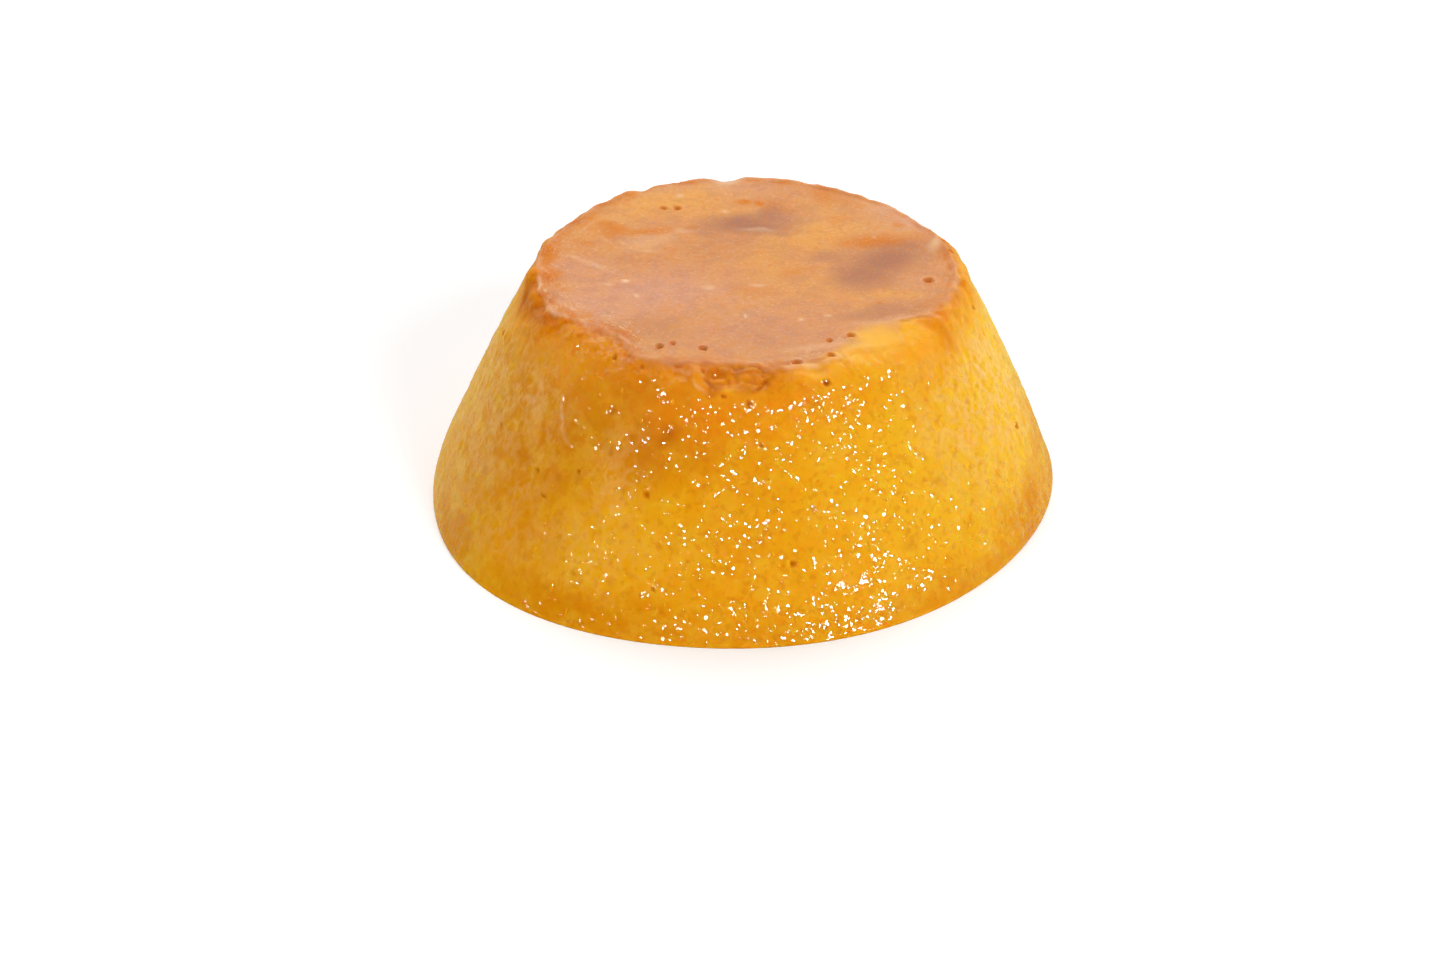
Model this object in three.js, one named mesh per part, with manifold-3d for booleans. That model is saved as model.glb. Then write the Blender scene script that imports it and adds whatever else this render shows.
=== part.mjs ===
// A caramel pudding: an individual baked egg custard, turned out of its sloping mould with the caramel side
// up. It is one piece of set custard, so it is one solid: a slumped cone with a stained, faintly dished top,
// a soft shoulder, a torn patch on the front of the rim, and the open bubbles that baking leaves.
//
// Millimetres, +Z up. The pudding stands on its wide face, with the middle of that face at the origin, and
// its torn patch looks towards -Y. Azimuths are in degrees round +Z, counted from +X.

import * as THREE from "three";
import { mergeVertices } from "three/addons/utils/BufferGeometryUtils.js";
import Module from "manifold-3d";

const wasm = await Module();
wasm.setup();

// ---------------------------------------------------------------- driving sizes

const BASE_RADIUS = 42.1; // the wide face, which was the open mouth of the mould
const TOP_RADIUS = 27.92; // the caramel side, which was the mould's bottom
const HEIGHT = 30.7;
const WALL_BELLY = 0.48; // how far the slumped wall stands proud of a straight one at half height
const TOP_LEAN = 1.45; // how far the top has sunk towards +X
const TOP_FALL = 0.0176; // slope of the top, which drops towards +X
const BASE_CENTRE = [-0.54, -0.26]; // puts the middle of the uneven base on the origin
const FOOT_ROUND = 0.7; // height of the small round where the wall meets the table
const FOOT_INSET = 0.15; // how far that round draws the foot in
const TOP_DISH = 0.35; // how far the middle of the top lies below its edge

// How far the outlines depart from a circle, as [waves round, cosine share, sine share].
const BASE_OVAL = [[2, -0.0058, 0.0018], [3, 0.0072, -0.0044], [4, -0.0029, 0.001], [5, 0.0056, 0.0018]];
const TOP_OVAL = [[3, 0.0084, 0], [4, 0.0063, -0.0012]];

// The soft shoulder between top and wall. It is narrow, and widens where the edge has slumped.
const SHOULDER_WIDTH = 1.3;
const SHOULDER_DROP = 1.5;
const SHOULDER_SLUMPS = [
  { azimuth: -48, spread: 17, width: 4.6, drop: 1.7 },
  { azimuth: -98, spread: 26, width: 2.3, drop: 1.5 },
  { azimuth: -142, spread: 20, width: 3.0, drop: 1.6 },
  { azimuth: 178, spread: 10, width: -0.8, drop: -0.7 },
];

// Relief: swells of the whole skin, and crags that only the edge of the top has. All die out at the table.
const RELIEF_START = 3; // height over which they grow to full size
const SWELL_HEIGHT = 0.3;
const SWELL_LENGTH = 11;
const CRAG_HEIGHT = 0.3;
const CRAG_LENGTH = 3.6;
const CRAG_REACH = 3.2; // how far from the rim the crags die out

// Small bulges and notches round the far edge of the top: how far it stands out at every five degrees from
// azimuth 10 round to 170, where the last one is.
const RIM_LOBES = [
  0, 0.18, -0.09, -0.21, -0.49, -0.32, -0.11, -0.3, -0.29, 0.03, -0.06, -0.29, 0, 0.35, -0.01, -0.17, -0.01,
  -0.64, -0.05, -0.18, -0.26, -0.2, -0.49, 0.26, -0.01, 0, 0.08, -0.11, -0.14, -0.15, 0.13, 0.38, -0.23,
];
const LOBE_START = 10;
const LOBE_STEP = 5;
const LOBE_SPREAD = 3.2;
const LOBE_REACH = 2.2; // how far from the rim they die out

// Where the skin tore off with the mould: hollows, and the lumps left between them, which have a negative
// depth. Each lies a share of the shoulder's width in from the rim.
const TORN_INSET = 0.45;
const TORN_PATCH = [
  { azimuth: -99.5, below: 1.1, size: 1.9, depth: 1.15 },
  { azimuth: -95.5, below: 0.2, size: 1.5, depth: 0.6 },
  { azimuth: -91.5, below: 0.9, size: 1.4, depth: -0.55 },
  { azimuth: -86.0, below: 1.0, size: 1.7, depth: 1.0 },
  { azimuth: -103.5, below: 0.5, size: 1.6, depth: -0.45 },
  { azimuth: -109, below: 0.1, size: 1.8, depth: 0.55 },
  { azimuth: -70, below: 0.1, size: 1.6, depth: 0.45 },
  { azimuth: 180, below: 0.3, size: 1.7, depth: -0.7 },
  { azimuth: -172, below: 0.4, size: 1.9, depth: -0.3 },
  { azimuth: -165, below: 1.2, size: 1.8, depth: 0.7 },
];

// Open bubbles: those that stand apart on the top, as [azimuth, radius from the top's axis, bubble radius],
// and the many round the rim and on the wall, which are placed by a seeded draw.
const TOP_BUBBLES = [
  [121.3, 20.9, 0.55],
  [117, 20, 0.6],
  [-6.4, 23.8, 0.75],
  [-52, 21.2, 0.65],
  [-60, 20.7, 0.5],
  [-64.4, 24.6, 0.6],
  [-75.5, 24.3, 0.75],
  [-106, 20.6, 0.7],
  [-120, 22.3, 0.65],
  [-117, 20.8, 0.5],
];
const RIM_BUBBLES = 14;
const WALL_BUBBLES = 24;
const BUBBLE_RADIUS = [0.35, 0.65]; // smallest and largest of the drawn ones
const BUBBLE_LIFT = 0.25; // how much of its radius a bubble's centre stands out of the skin
const BUBBLE_GAP = 2.6; // the least distance between two bubbles
const BUBBLE_WALL_BAND = [0.04, 0.9]; // the stretch of the wall that has bubbles, from the shoulder down
const BUBBLE_SEED = 11;
const BUBBLE_TRIES = 60; // draws for each bubble wanted

// How finely the skin is divided.
const COLUMNS = 104;
const TOP_RINGS = 10;
const SHOULDER_RINGS = 5;
const WALL_RINGS = 12;
const FOOT_RINGS = 2;
const BUBBLE_SIDES = 8;
const BUBBLE_RINGS = 4;

// ---------------------------------------------------------------- small helpers

const radians = THREE.MathUtils.degToRad;
const lerp = THREE.MathUtils.lerp;

/** The same stream of numbers from 0 to 1 for the same seed. */
function seededDraw(seed) {
  let state = seed;
  return () => {
    state = (Math.imul(state, 1664525) + 1013904223) >>> 0;
    return state / 2 ** 32;
  };
}

/** A fixed number from -1 to 1 for each corner of a unit lattice. */
function latticeValue(x, y, z) {
  let h = Math.imul(x, 374761393) ^ Math.imul(y, 668265263) ^ Math.imul(z, 1274126177);
  h = Math.imul(h ^ (h >>> 13), 1103515245);
  return ((h ^ (h >>> 16)) & 0xffff) / 0x7fff - 1;
}

/** Smooth noise from -1 to 1 through space, with lumps about one unit apart. */
function smoothNoise(x, y, z) {
  const [ix, iy, iz] = [x, y, z].map(Math.floor);
  const [u, v, w] = [x - ix, y - iy, z - iz].map((t) => t * t * (3 - 2 * t));
  const corner = (dx, dy, dz) => latticeValue(ix + dx, iy + dy, iz + dz);
  const edge = (dy, dz) => lerp(corner(0, dy, dz), corner(1, dy, dz), u);
  return lerp(lerp(edge(0, 0), edge(1, 0), v), lerp(edge(0, 1), edge(1, 1), v), w);
}

/** Degrees between two azimuths, from 0 to 180. */
function azimuthGap(a, b) {
  return Math.abs(((((a - b) % 360) + 540) % 360) - 180);
}

// ---------------------------------------------------------------- the form of the custard

function oval(waves, azimuth) {
  return waves.reduce(
    (sum, [k, c, s]) => sum + c * Math.cos(k * radians(azimuth)) + s * Math.sin(k * radians(azimuth)), 1);
}

/** Radius of the plain wall, from the foot (share 0) to the top (share 1). */
function wallRadius(azimuth, share) {
  const straight = lerp(BASE_RADIUS, TOP_RADIUS, share) + 4 * WALL_BELLY * share * (1 - share);
  return straight * lerp(oval(BASE_OVAL, azimuth), oval(TOP_OVAL, azimuth), share);
}

/** Width and drop of the shoulder at an azimuth. */
function shoulder(azimuth) {
  let [width, drop] = [SHOULDER_WIDTH, SHOULDER_DROP];
  for (const slump of SHOULDER_SLUMPS) {
    const here = Math.exp(-((azimuthGap(azimuth, slump.azimuth) / slump.spread) ** 2));
    width += slump.width * here;
    drop += slump.drop * here;
  }
  return { width, drop };
}

/** A point of the plain section: radius and height at a place along the skin from the middle of the top. */
function sectionPoint(azimuth, stretch, share) {
  const { width, drop } = shoulder(azimuth);
  const topEdge = wallRadius(azimuth, 1) - width;
  const wallStart = 1 - drop / HEIGHT;
  if (stretch === "top") {
    return { radius: topEdge * share, height: HEIGHT - TOP_DISH * (1 - share ** 2) };
  }
  if (stretch === "shoulder") {
    // A parabola: level where it leaves the top, and at the wall's own slope where it meets the wall.
    const [fromTop, fromRim, fromWall] = [(1 - share) ** 2, 2 * share * (1 - share), share ** 2];
    const radii = [topEdge, wallRadius(azimuth, 1), wallRadius(azimuth, wallStart)];
    return {
      radius: radii[0] * fromTop + radii[1] * fromRim + radii[2] * fromWall,
      height: HEIGHT - drop * fromWall,
    };
  }
  const height = lerp(wallStart, 0, share) * HEIGHT;
  const intoFoot = Math.max(0, 1 - height / FOOT_ROUND);
  return { radius: wallRadius(azimuth, height / HEIGHT) - FOOT_INSET * intoFoot ** 2, height };
}

/** Swells, crags, lobes and the torn patch: how far the skin stands out from the plain form at a point. */
function relief(point, azimuth) {
  const [x, y, z] = point.toArray();
  const rimRadius = wallRadius(azimuth, 1);
  const fromRim = Math.hypot(Math.hypot(x, y) - rimRadius, z - HEIGHT);
  const swell = SWELL_HEIGHT * smoothNoise(x / SWELL_LENGTH + 7, y / SWELL_LENGTH, z / SWELL_LENGTH);
  const crag = CRAG_HEIGHT * smoothNoise(x / CRAG_LENGTH, y / CRAG_LENGTH + 3, z / CRAG_LENGTH)
    * Math.exp(-((fromRim / CRAG_REACH) ** 2));
  const gap = (i) => azimuthGap(azimuth, LOBE_START + LOBE_STEP * i);
  const lobes = RIM_LOBES.reduce((sum, bulge, i) => sum + bulge * Math.exp(-((gap(i) / LOBE_SPREAD) ** 2)), 0)
    * Math.exp(-((fromRim / LOBE_REACH) ** 2));
  let torn = 0;
  for (const spot of TORN_PATCH) {
    const { width } = shoulder(spot.azimuth);
    const centre = polar(spot.azimuth, wallRadius(spot.azimuth, 1) - TORN_INSET * width, HEIGHT - spot.below);
    torn -= spot.depth * Math.exp(-((point.distanceTo(centre) / spot.size) ** 2));
  }
  return (swell + crag + lobes + torn) * THREE.MathUtils.smoothstep(z, 0, RELIEF_START);
}

/** A point by azimuth, radius and height, without the lean. */
function polar(azimuth, radius, height) {
  const turn = radians(azimuth);
  return new THREE.Vector3(radius * Math.cos(turn), radius * Math.sin(turn), height);
}

/** Moves a point of the upright form to where the leaning, slumped pudding has it. */
function settle(point) {
  const share = point.z / HEIGHT;
  return new THREE.Vector3(
    point.x + TOP_LEAN * share + BASE_CENTRE[0],
    point.y + BASE_CENTRE[1],
    point.z - TOP_FALL * point.x * share);
}

/** Outward direction of the plain form: up on the top, out and up on the wall, turning over the shoulder. */
function outward(azimuth, stretch, share) {
  const wallTilt = Math.atan2(BASE_RADIUS - TOP_RADIUS, HEIGHT);
  const tilt = { top: Math.PI / 2, shoulder: lerp(Math.PI / 2, wallTilt, share), wall: wallTilt }[stretch];
  return polar(azimuth, Math.cos(tilt), Math.sin(tilt));
}

/** A point of the finished skin. */
function skinPoint(azimuth, stretch, share) {
  const { radius, height } = sectionPoint(azimuth, stretch, share);
  const plain = polar(azimuth, radius, height);
  plain.addScaledVector(outward(azimuth, stretch, share), relief(plain, azimuth));
  return settle(plain);
}

// ---------------------------------------------------------------- the skin as one closed mesh

/** The rings of the skin, from the first one round the middle of the top down to the table. */
function ringPlaces() {
  const places = [];
  for (let i = 1; i <= TOP_RINGS; i++) places.push(["top", i / TOP_RINGS]);
  for (let i = 1; i <= SHOULDER_RINGS; i++) places.push(["shoulder", i / SHOULDER_RINGS]);
  const footShare = 1 - FOOT_ROUND / HEIGHT;
  for (let i = 1; i <= WALL_RINGS; i++) places.push(["wall", (footShare * i) / WALL_RINGS]);
  for (let i = 1; i <= FOOT_RINGS; i++) places.push(["wall", lerp(footShare, 1, i / FOOT_RINGS)]);
  return places;
}

function skinGeometry() {
  const places = ringPlaces();
  const points = places.flatMap(([stretch, share]) =>
    Array.from({ length: COLUMNS }, (_, j) => skinPoint((360 * j) / COLUMNS, stretch, share)));
  const faces = [];
  const at = (ring, column) => ring * COLUMNS + (column % COLUMNS);
  for (let ring = 0; ring + 1 < places.length; ring++) {
    for (let j = 0; j < COLUMNS; j++) {
      faces.push(at(ring, j), at(ring + 1, j), at(ring + 1, j + 1));
      faces.push(at(ring, j), at(ring + 1, j + 1), at(ring, j + 1));
    }
  }
  const topMiddle = points.push(skinPoint(0, "top", 0)) - 1;
  const baseMiddle = points.push(new THREE.Vector3(BASE_CENTRE[0], BASE_CENTRE[1], 0)) - 1;
  for (let j = 0; j < COLUMNS; j++) {
    faces.push(topMiddle, at(0, j), at(0, j + 1));
    faces.push(baseMiddle, at(places.length - 1, j + 1), at(places.length - 1, j));
  }
  const geometry = new THREE.BufferGeometry();
  const coordinates = points.flatMap((point) => point.toArray());
  geometry.setAttribute("position", new THREE.Float32BufferAttribute(coordinates, 3));
  geometry.setIndex(faces);
  return geometry;
}

// ---------------------------------------------------------------- the open bubbles

/** Places for the bubbles: the named ones on the top, then drawn ones that keep clear of all before them. */
function bubblePlaces() {
  const draw = seededDraw(BUBBLE_SEED);
  const bubbles = TOP_BUBBLES.map(([azimuth, radius, size]) => {
    const share = radius / (wallRadius(azimuth, 1) - shoulder(azimuth).width);
    return { azimuth, stretch: "top", share: Math.min(share, 1), size };
  });
  const placed = bubbles.map((b) => skinPoint(b.azimuth, b.stretch, b.share));
  const drawSome = (count, pick) => {
    for (let made = 0, tries = 0; made < count && tries < BUBBLE_TRIES * count; tries++) {
      const bubble = { ...pick(), size: lerp(...BUBBLE_RADIUS, draw() ** 2) };
      const centre = skinPoint(bubble.azimuth, bubble.stretch, bubble.share);
      if (placed.some((p) => p.distanceTo(centre) < BUBBLE_GAP)) continue;
      placed.push(centre);
      bubbles.push(bubble);
      made++;
    }
  };
  const onRim = () => ({ azimuth: 360 * draw(), stretch: "shoulder", share: draw() });
  const onWall = () => ({ azimuth: 360 * draw(), stretch: "wall", share: lerp(...BUBBLE_WALL_BAND, draw()) });
  drawSome(RIM_BUBBLES, onRim);
  drawSome(WALL_BUBBLES, onWall);
  return bubbles;
}

/** A bubble is a small sphere whose middle stands just out of the skin, with a pole pointing outwards. */
function bubbleGeometry({ azimuth, stretch, share, size }) {
  const out = outward(azimuth, stretch, share);
  const centre = skinPoint(azimuth, stretch, share).addScaledVector(out, BUBBLE_LIFT * size);
  const geometry = new THREE.SphereGeometry(size, BUBBLE_SIDES, BUBBLE_RINGS);
  geometry.applyQuaternion(new THREE.Quaternion().setFromUnitVectors(THREE.Object3D.DEFAULT_UP, out));
  return geometry.translate(...centre.toArray());
}

/** A closed mesh as a solid that can be cut. */
function toSolid(geometry) {
  geometry.deleteAttribute("normal");
  geometry.deleteAttribute("uv");
  const merged = mergeVertices(geometry, 1e-5);
  return new wasm.Manifold(new wasm.Mesh({
    numProp: 3,
    vertProperties: merged.attributes.position.array,
    triVerts: Uint32Array.from(merged.index.array),
  }));
}

function fromSolid(solid) {
  const mesh = solid.getMesh();
  const geometry = new THREE.BufferGeometry();
  geometry.setAttribute("position", new THREE.BufferAttribute(mesh.vertProperties, 3));
  geometry.setIndex(new THREE.BufferAttribute(mesh.triVerts, 1));
  geometry.computeVertexNormals();
  return geometry;
}

// ---------------------------------------------------------------- the pudding

function custard() {
  let solid = toSolid(skinGeometry());
  for (const bubble of bubblePlaces()) solid = solid.subtract(toSolid(bubbleGeometry(bubble)));
  const material = new THREE.MeshStandardMaterial({ color: 0xe3a12a, roughness: 0.3, metalness: 0 });
  const mesh = new THREE.Mesh(fromSolid(solid), material);
  mesh.name = "custard";
  return mesh;
}

const pudding = new THREE.Group();
pudding.add(custard());

export default pudding;
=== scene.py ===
import math

import bpy
import numpy as np
from mathutils import Matrix, Vector


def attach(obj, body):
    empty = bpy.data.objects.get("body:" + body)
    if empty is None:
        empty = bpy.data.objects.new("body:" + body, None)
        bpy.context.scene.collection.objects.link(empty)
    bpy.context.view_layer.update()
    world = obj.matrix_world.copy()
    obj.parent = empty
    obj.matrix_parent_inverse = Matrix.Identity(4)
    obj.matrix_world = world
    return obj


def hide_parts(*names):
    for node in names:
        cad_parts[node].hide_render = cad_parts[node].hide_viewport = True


# ---------------------------------------------------------------------------------------------- camera
# A long lens half a metre off and thirty degrees up. It hangs a degree out of level, and the pudding stands
# a little above the middle of its picture.

MM = 0.001
PICTURE_WIDTH = 1445
PICTURE_HEIGHT = 963
SENSOR_WIDTH = 36.0
LENS = 94.7
STAND_OFF = 504 * MM
CAMERA_RISE = math.radians(30.15)
CAMERA_ROLL = math.radians(-1.11)
PUDDING_MIDDLE = Vector((-0.54, -0.26, 15.3)) * MM
MIDDLE_PIXEL = (737.0, 375.4)

camera = bpy.data.objects.new("camera", bpy.data.cameras.new("camera"))
camera.data.sensor_width = SENSOR_WIDTH
camera.data.lens = LENS
camera.data.clip_start = 10 * MM
camera.data.clip_end = 20
towards_camera = Vector((0, -math.cos(CAMERA_RISE), math.sin(CAMERA_RISE)))
focal_pixels = LENS / SENSOR_WIDTH * PICTURE_WIDTH
look_down = math.atan((PICTURE_HEIGHT / 2 - MIDDLE_PIXEL[1]) / focal_pixels)
look_left = math.atan((MIDDLE_PIXEL[0] - PICTURE_WIDTH / 2) / focal_pixels)
camera.matrix_world = (
    Matrix.Translation(PUDDING_MIDDLE + STAND_OFF * towards_camera)
    @ towards_camera.to_track_quat("Z", "Y").to_matrix().to_4x4()
    @ Matrix.Rotation(CAMERA_ROLL, 4, "Z")
    @ Matrix.Rotation(-look_down, 4, "X")
    @ Matrix.Rotation(look_left, 4, "Y")
)
bpy.context.scene.collection.objects.link(camera)
bpy.context.scene.camera = camera

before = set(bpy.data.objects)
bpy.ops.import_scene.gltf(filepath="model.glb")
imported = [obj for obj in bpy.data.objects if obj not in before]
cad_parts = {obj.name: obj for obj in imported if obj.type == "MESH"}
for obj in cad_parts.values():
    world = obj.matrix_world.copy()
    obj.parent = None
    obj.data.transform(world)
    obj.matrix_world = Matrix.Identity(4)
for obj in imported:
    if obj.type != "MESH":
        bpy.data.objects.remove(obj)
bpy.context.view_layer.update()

# ------------------------------------------------------------------------------------- custard: its form
# The set custard is one slumped cone, wide face down. It keeps the form of the solid: an uneven round, a soft
# shoulder that has slumped here and there, slow swells, and crags at the edge of the top where it left the
# mould. Azimuths are in degrees round +Z, counted from +X.

BASE_RADIUS = 42.1 * MM
TOP_RADIUS = 27.92 * MM
HEIGHT = 30.7 * MM
WALL_BELLY = 0.48 * MM
TOP_LEAN = 1.45 * MM
TOP_FALL = 0.0176
BASE_CENTRE = (-0.54 * MM, -0.26 * MM)
FOOT_ROUND = 0.7 * MM
FOOT_INSET = 0.15 * MM
TOP_DISH = 0.35 * MM
BASE_OVAL = [  # waves round, cosine share, sine share
    (2, -0.0058, 0.0018), (3, 0.0072, -0.0044), (4, -0.0029, 0.001), (5, 0.0056, 0.0018),
]
TOP_OVAL = [(3, 0.0084, 0), (4, 0.0063, -0.0012)]
SHOULDER_WIDTH = 1.3 * MM
SHOULDER_DROP = 1.5 * MM
SHOULDER_SLUMPS = [  # azimuth, spread in degrees, extra width, extra drop
    (-48, 17, 4.6 * MM, 1.7 * MM),
    (-98, 26, 2.3 * MM, 1.5 * MM),
    (-142, 20, 3.0 * MM, 1.6 * MM),
    (178, 10, -0.8 * MM, -0.7 * MM),
]


def lattice_value(x, y, z):
    """A fixed number from -1 to 1 for each corner of a unit lattice."""
    with np.errstate(over="ignore"):
        h = x * np.uint32(374761393) ^ y * np.uint32(668265263) ^ z * np.uint32(1274126177)
        h = (h ^ (h >> np.uint32(13))) * np.uint32(1103515245)
    return ((h ^ (h >> np.uint32(16))) & np.uint32(0xFFFF)) / 0x7FFF - 1


def smooth_noise(points, length, offset=(0, 0, 0)):
    """Noise from -1 to 1 at points, with lumps about one length apart."""
    place = points / length + np.array(offset, float)
    cell = np.floor(place)
    low = cell.astype(np.int64).astype(np.uint32)
    part = place - cell
    weight = part * part * (3 - 2 * part)
    total = 0
    for dx, dy, dz in np.ndindex(2, 2, 2):
        step = np.array((dx, dy, dz))
        share = np.prod(np.where(step, weight, 1 - weight), axis=-1)
        total = total + share * lattice_value(*np.moveaxis(low + step.astype(np.uint32), -1, 0))
    return total


def azimuth_gap(a, b):
    return np.abs((a - b + 180) % 360 - 180)


def bump(distance, size):
    """A soft round bump, one high in its middle."""
    return np.exp(-((distance / size) ** 2))


def oval(waves, azimuth):
    turn = np.radians(azimuth)
    return 1 + sum(c * np.cos(k * turn) + s * np.sin(k * turn) for k, c, s in waves)


def wall_radius(azimuth, share):
    """Radius of the plain wall, from the foot (share 0) to the top (share 1)."""
    straight = BASE_RADIUS + (TOP_RADIUS - BASE_RADIUS) * share + 4 * WALL_BELLY * share * (1 - share)
    return straight * (oval(BASE_OVAL, azimuth) * (1 - share) + oval(TOP_OVAL, azimuth) * share)


def shoulder(azimuth):
    """Width and drop of the shoulder."""
    width = SHOULDER_WIDTH
    drop = SHOULDER_DROP
    for middle, spread, more_width, more_drop in SHOULDER_SLUMPS:
        here = bump(azimuth_gap(azimuth, middle), spread)
        width = width + more_width * here
        drop = drop + more_drop * here
    return width, drop


def section(azimuth, stretch, share):
    """Radius, height and outward tilt of the plain skin on its way from the middle to the table."""
    width, drop = shoulder(azimuth)
    top_edge = wall_radius(azimuth, 1) - width
    wall_start = 1 - drop / HEIGHT
    wall_tilt = math.atan2(BASE_RADIUS - TOP_RADIUS, HEIGHT)
    if stretch == "top":
        return top_edge * share, HEIGHT - TOP_DISH * (1 - share**2) + 0 * azimuth, math.pi / 2
    if stretch == "shoulder":
        # A parabola: level where it leaves the top, and at the wall's own slope where it meets the wall.
        from_top, from_rim, from_wall = (1 - share) ** 2, 2 * share * (1 - share), share**2
        reach = top_edge * from_top + wall_radius(azimuth, 1) * from_rim
        reach = reach + wall_radius(azimuth, wall_start) * from_wall
        return reach, HEIGHT - drop * from_wall, math.pi / 2 + (wall_tilt - math.pi / 2) * share
    height = wall_start * (1 - share) * HEIGHT
    into_foot = np.maximum(0, 1 - height / FOOT_ROUND)
    return wall_radius(azimuth, height / HEIGHT) - FOOT_INSET * into_foot**2, height, wall_tilt


def polar(azimuth, radius, height):
    turn = np.radians(azimuth)
    return np.stack([radius * np.cos(turn), radius * np.sin(turn), height + 0 * turn], axis=-1)


def settle(points):
    """Moves points of the upright form to where the leaning, slumped pudding has them."""
    share = points[..., 2] / HEIGHT
    sideways = TOP_LEAN * share + BASE_CENTRE[0]
    fall = -TOP_FALL * points[..., 0] * share
    return points + np.stack([sideways, BASE_CENTRE[1] + 0 * share, fall], axis=-1)


# --------------------------------------------------------------------------------- custard: its relief
# What stands out of the plain form: swells, crags and lobes of the rim, the patch on its front that tore off
# with the mould, and the open bubbles that baking leaves.

RELIEF_START = 3 * MM
SWELL_HEIGHT = 0.3 * MM
SWELL_LENGTH = 11 * MM
CRAG_HEIGHT = 0.3 * MM
CRAG_LENGTH = 3.6 * MM
CRAG_REACH = 3.2 * MM
RIM_LOBES = [  # how far the rim stands out, in millimetres, at every five degrees from azimuth 10 to 170
    0, 0.18, -0.09, -0.21, -0.49, -0.32, -0.11, -0.3, -0.29, 0.03, -0.06, -0.29, 0, 0.35, -0.01, -0.17,
    -0.01, -0.64, -0.05, -0.18, -0.26, -0.2, -0.49, 0.26, -0.01, 0, 0.08, -0.11, -0.14, -0.15, 0.13, 0.38,
    -0.23,
]
LOBE_START = 10
LOBE_STEP = 5
LOBE_SPREAD = 3.2
LOBE_REACH = 2.2 * MM
TORN_INSET = 0.45
TORN_PATCH = [  # azimuth, depth below the top, size, depth of the hollow
    (-99.5, 1.1 * MM, 1.9 * MM, 1.15 * MM),
    (-95.5, 0.2 * MM, 1.5 * MM, 0.6 * MM),
    (-91.5, 0.9 * MM, 1.4 * MM, -0.55 * MM),
    (-86.0, 1.0 * MM, 1.7 * MM, 1.0 * MM),
    (-103.5, 0.5 * MM, 1.6 * MM, -0.45 * MM),
    (-109, 0.1 * MM, 1.8 * MM, 0.55 * MM),
    (-70, 0.1 * MM, 1.6 * MM, 0.45 * MM),
    (180, 0.3 * MM, 1.7 * MM, -0.7 * MM),
    (-172, 0.4 * MM, 1.9 * MM, -0.3 * MM),
    (-165, 1.2 * MM, 1.8 * MM, 0.7 * MM),
]
TOP_BUBBLES = [  # azimuth, radius from the top's axis, bubble radius
    (121.3, 20.9 * MM, 0.55 * MM),
    (117, 20 * MM, 0.6 * MM),
    (-6.4, 23.8 * MM, 0.75 * MM),
    (-52, 21.2 * MM, 0.65 * MM),
    (-60, 20.7 * MM, 0.5 * MM),
    (-64.4, 24.6 * MM, 0.6 * MM),
    (-75.5, 24.3 * MM, 0.75 * MM),
    (-106, 20.6 * MM, 0.7 * MM),
    (-120, 22.3 * MM, 0.65 * MM),
    (-117, 20.8 * MM, 0.5 * MM),
]
RIM_BUBBLES = 14
WALL_BUBBLES = 24
BUBBLE_RADIUS = (0.35 * MM, 0.65 * MM)
BUBBLE_LIFT = 0.25
BUBBLE_GAP = 2.6 * MM
BUBBLE_WALL_BAND = (0.04, 0.9)
BUBBLE_SEED = 11
BUBBLE_TRIES = 60


def relief(points, azimuth):
    """Swells, crags, lobes and the torn patch: how far the skin stands out from the plain form."""
    from_axis = np.hypot(points[..., 0], points[..., 1])
    rim = np.hypot(from_axis - wall_radius(azimuth, 1), points[..., 2] - HEIGHT)
    out = SWELL_HEIGHT * smooth_noise(points, SWELL_LENGTH, (7, 0, 0))
    out = out + CRAG_HEIGHT * smooth_noise(points, CRAG_LENGTH, (0, 3, 0)) * bump(rim, CRAG_REACH)
    lobes = 0
    for i, bulge in enumerate(RIM_LOBES):
        lobes = lobes + bulge * MM * bump(azimuth_gap(azimuth, LOBE_START + LOBE_STEP * i), LOBE_SPREAD)
    out = out + lobes * bump(rim, LOBE_REACH)
    for spot_azimuth, below, size, depth in TORN_PATCH:
        width, _ = shoulder(spot_azimuth)
        middle = polar(spot_azimuth, wall_radius(spot_azimuth, 1) - TORN_INSET * width, HEIGHT - below)
        out = out - depth * bump(np.linalg.norm(points - middle, axis=-1), size)
    rise = np.clip(points[..., 2] / RELIEF_START, 0, 1)
    return out * rise * rise * (3 - 2 * rise)


def skin(azimuth, stretch, share):
    """Points of the finished skin, and the way that the plain skin faces there."""
    azimuth = np.asarray(azimuth, float)
    radius, height, tilt = section(azimuth, stretch, share)
    plain = polar(azimuth, radius, height)
    out = polar(azimuth, math.cos(tilt), math.sin(tilt))
    return settle(plain + out * relief(plain, azimuth)[..., None]), out


def seeded_draw(seed):
    """The same stream of numbers from 0 to 1 for the same seed."""
    state = seed
    while True:
        state = (state * 1664525 + 1013904223) % 2**32
        yield state / 2**32


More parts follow.
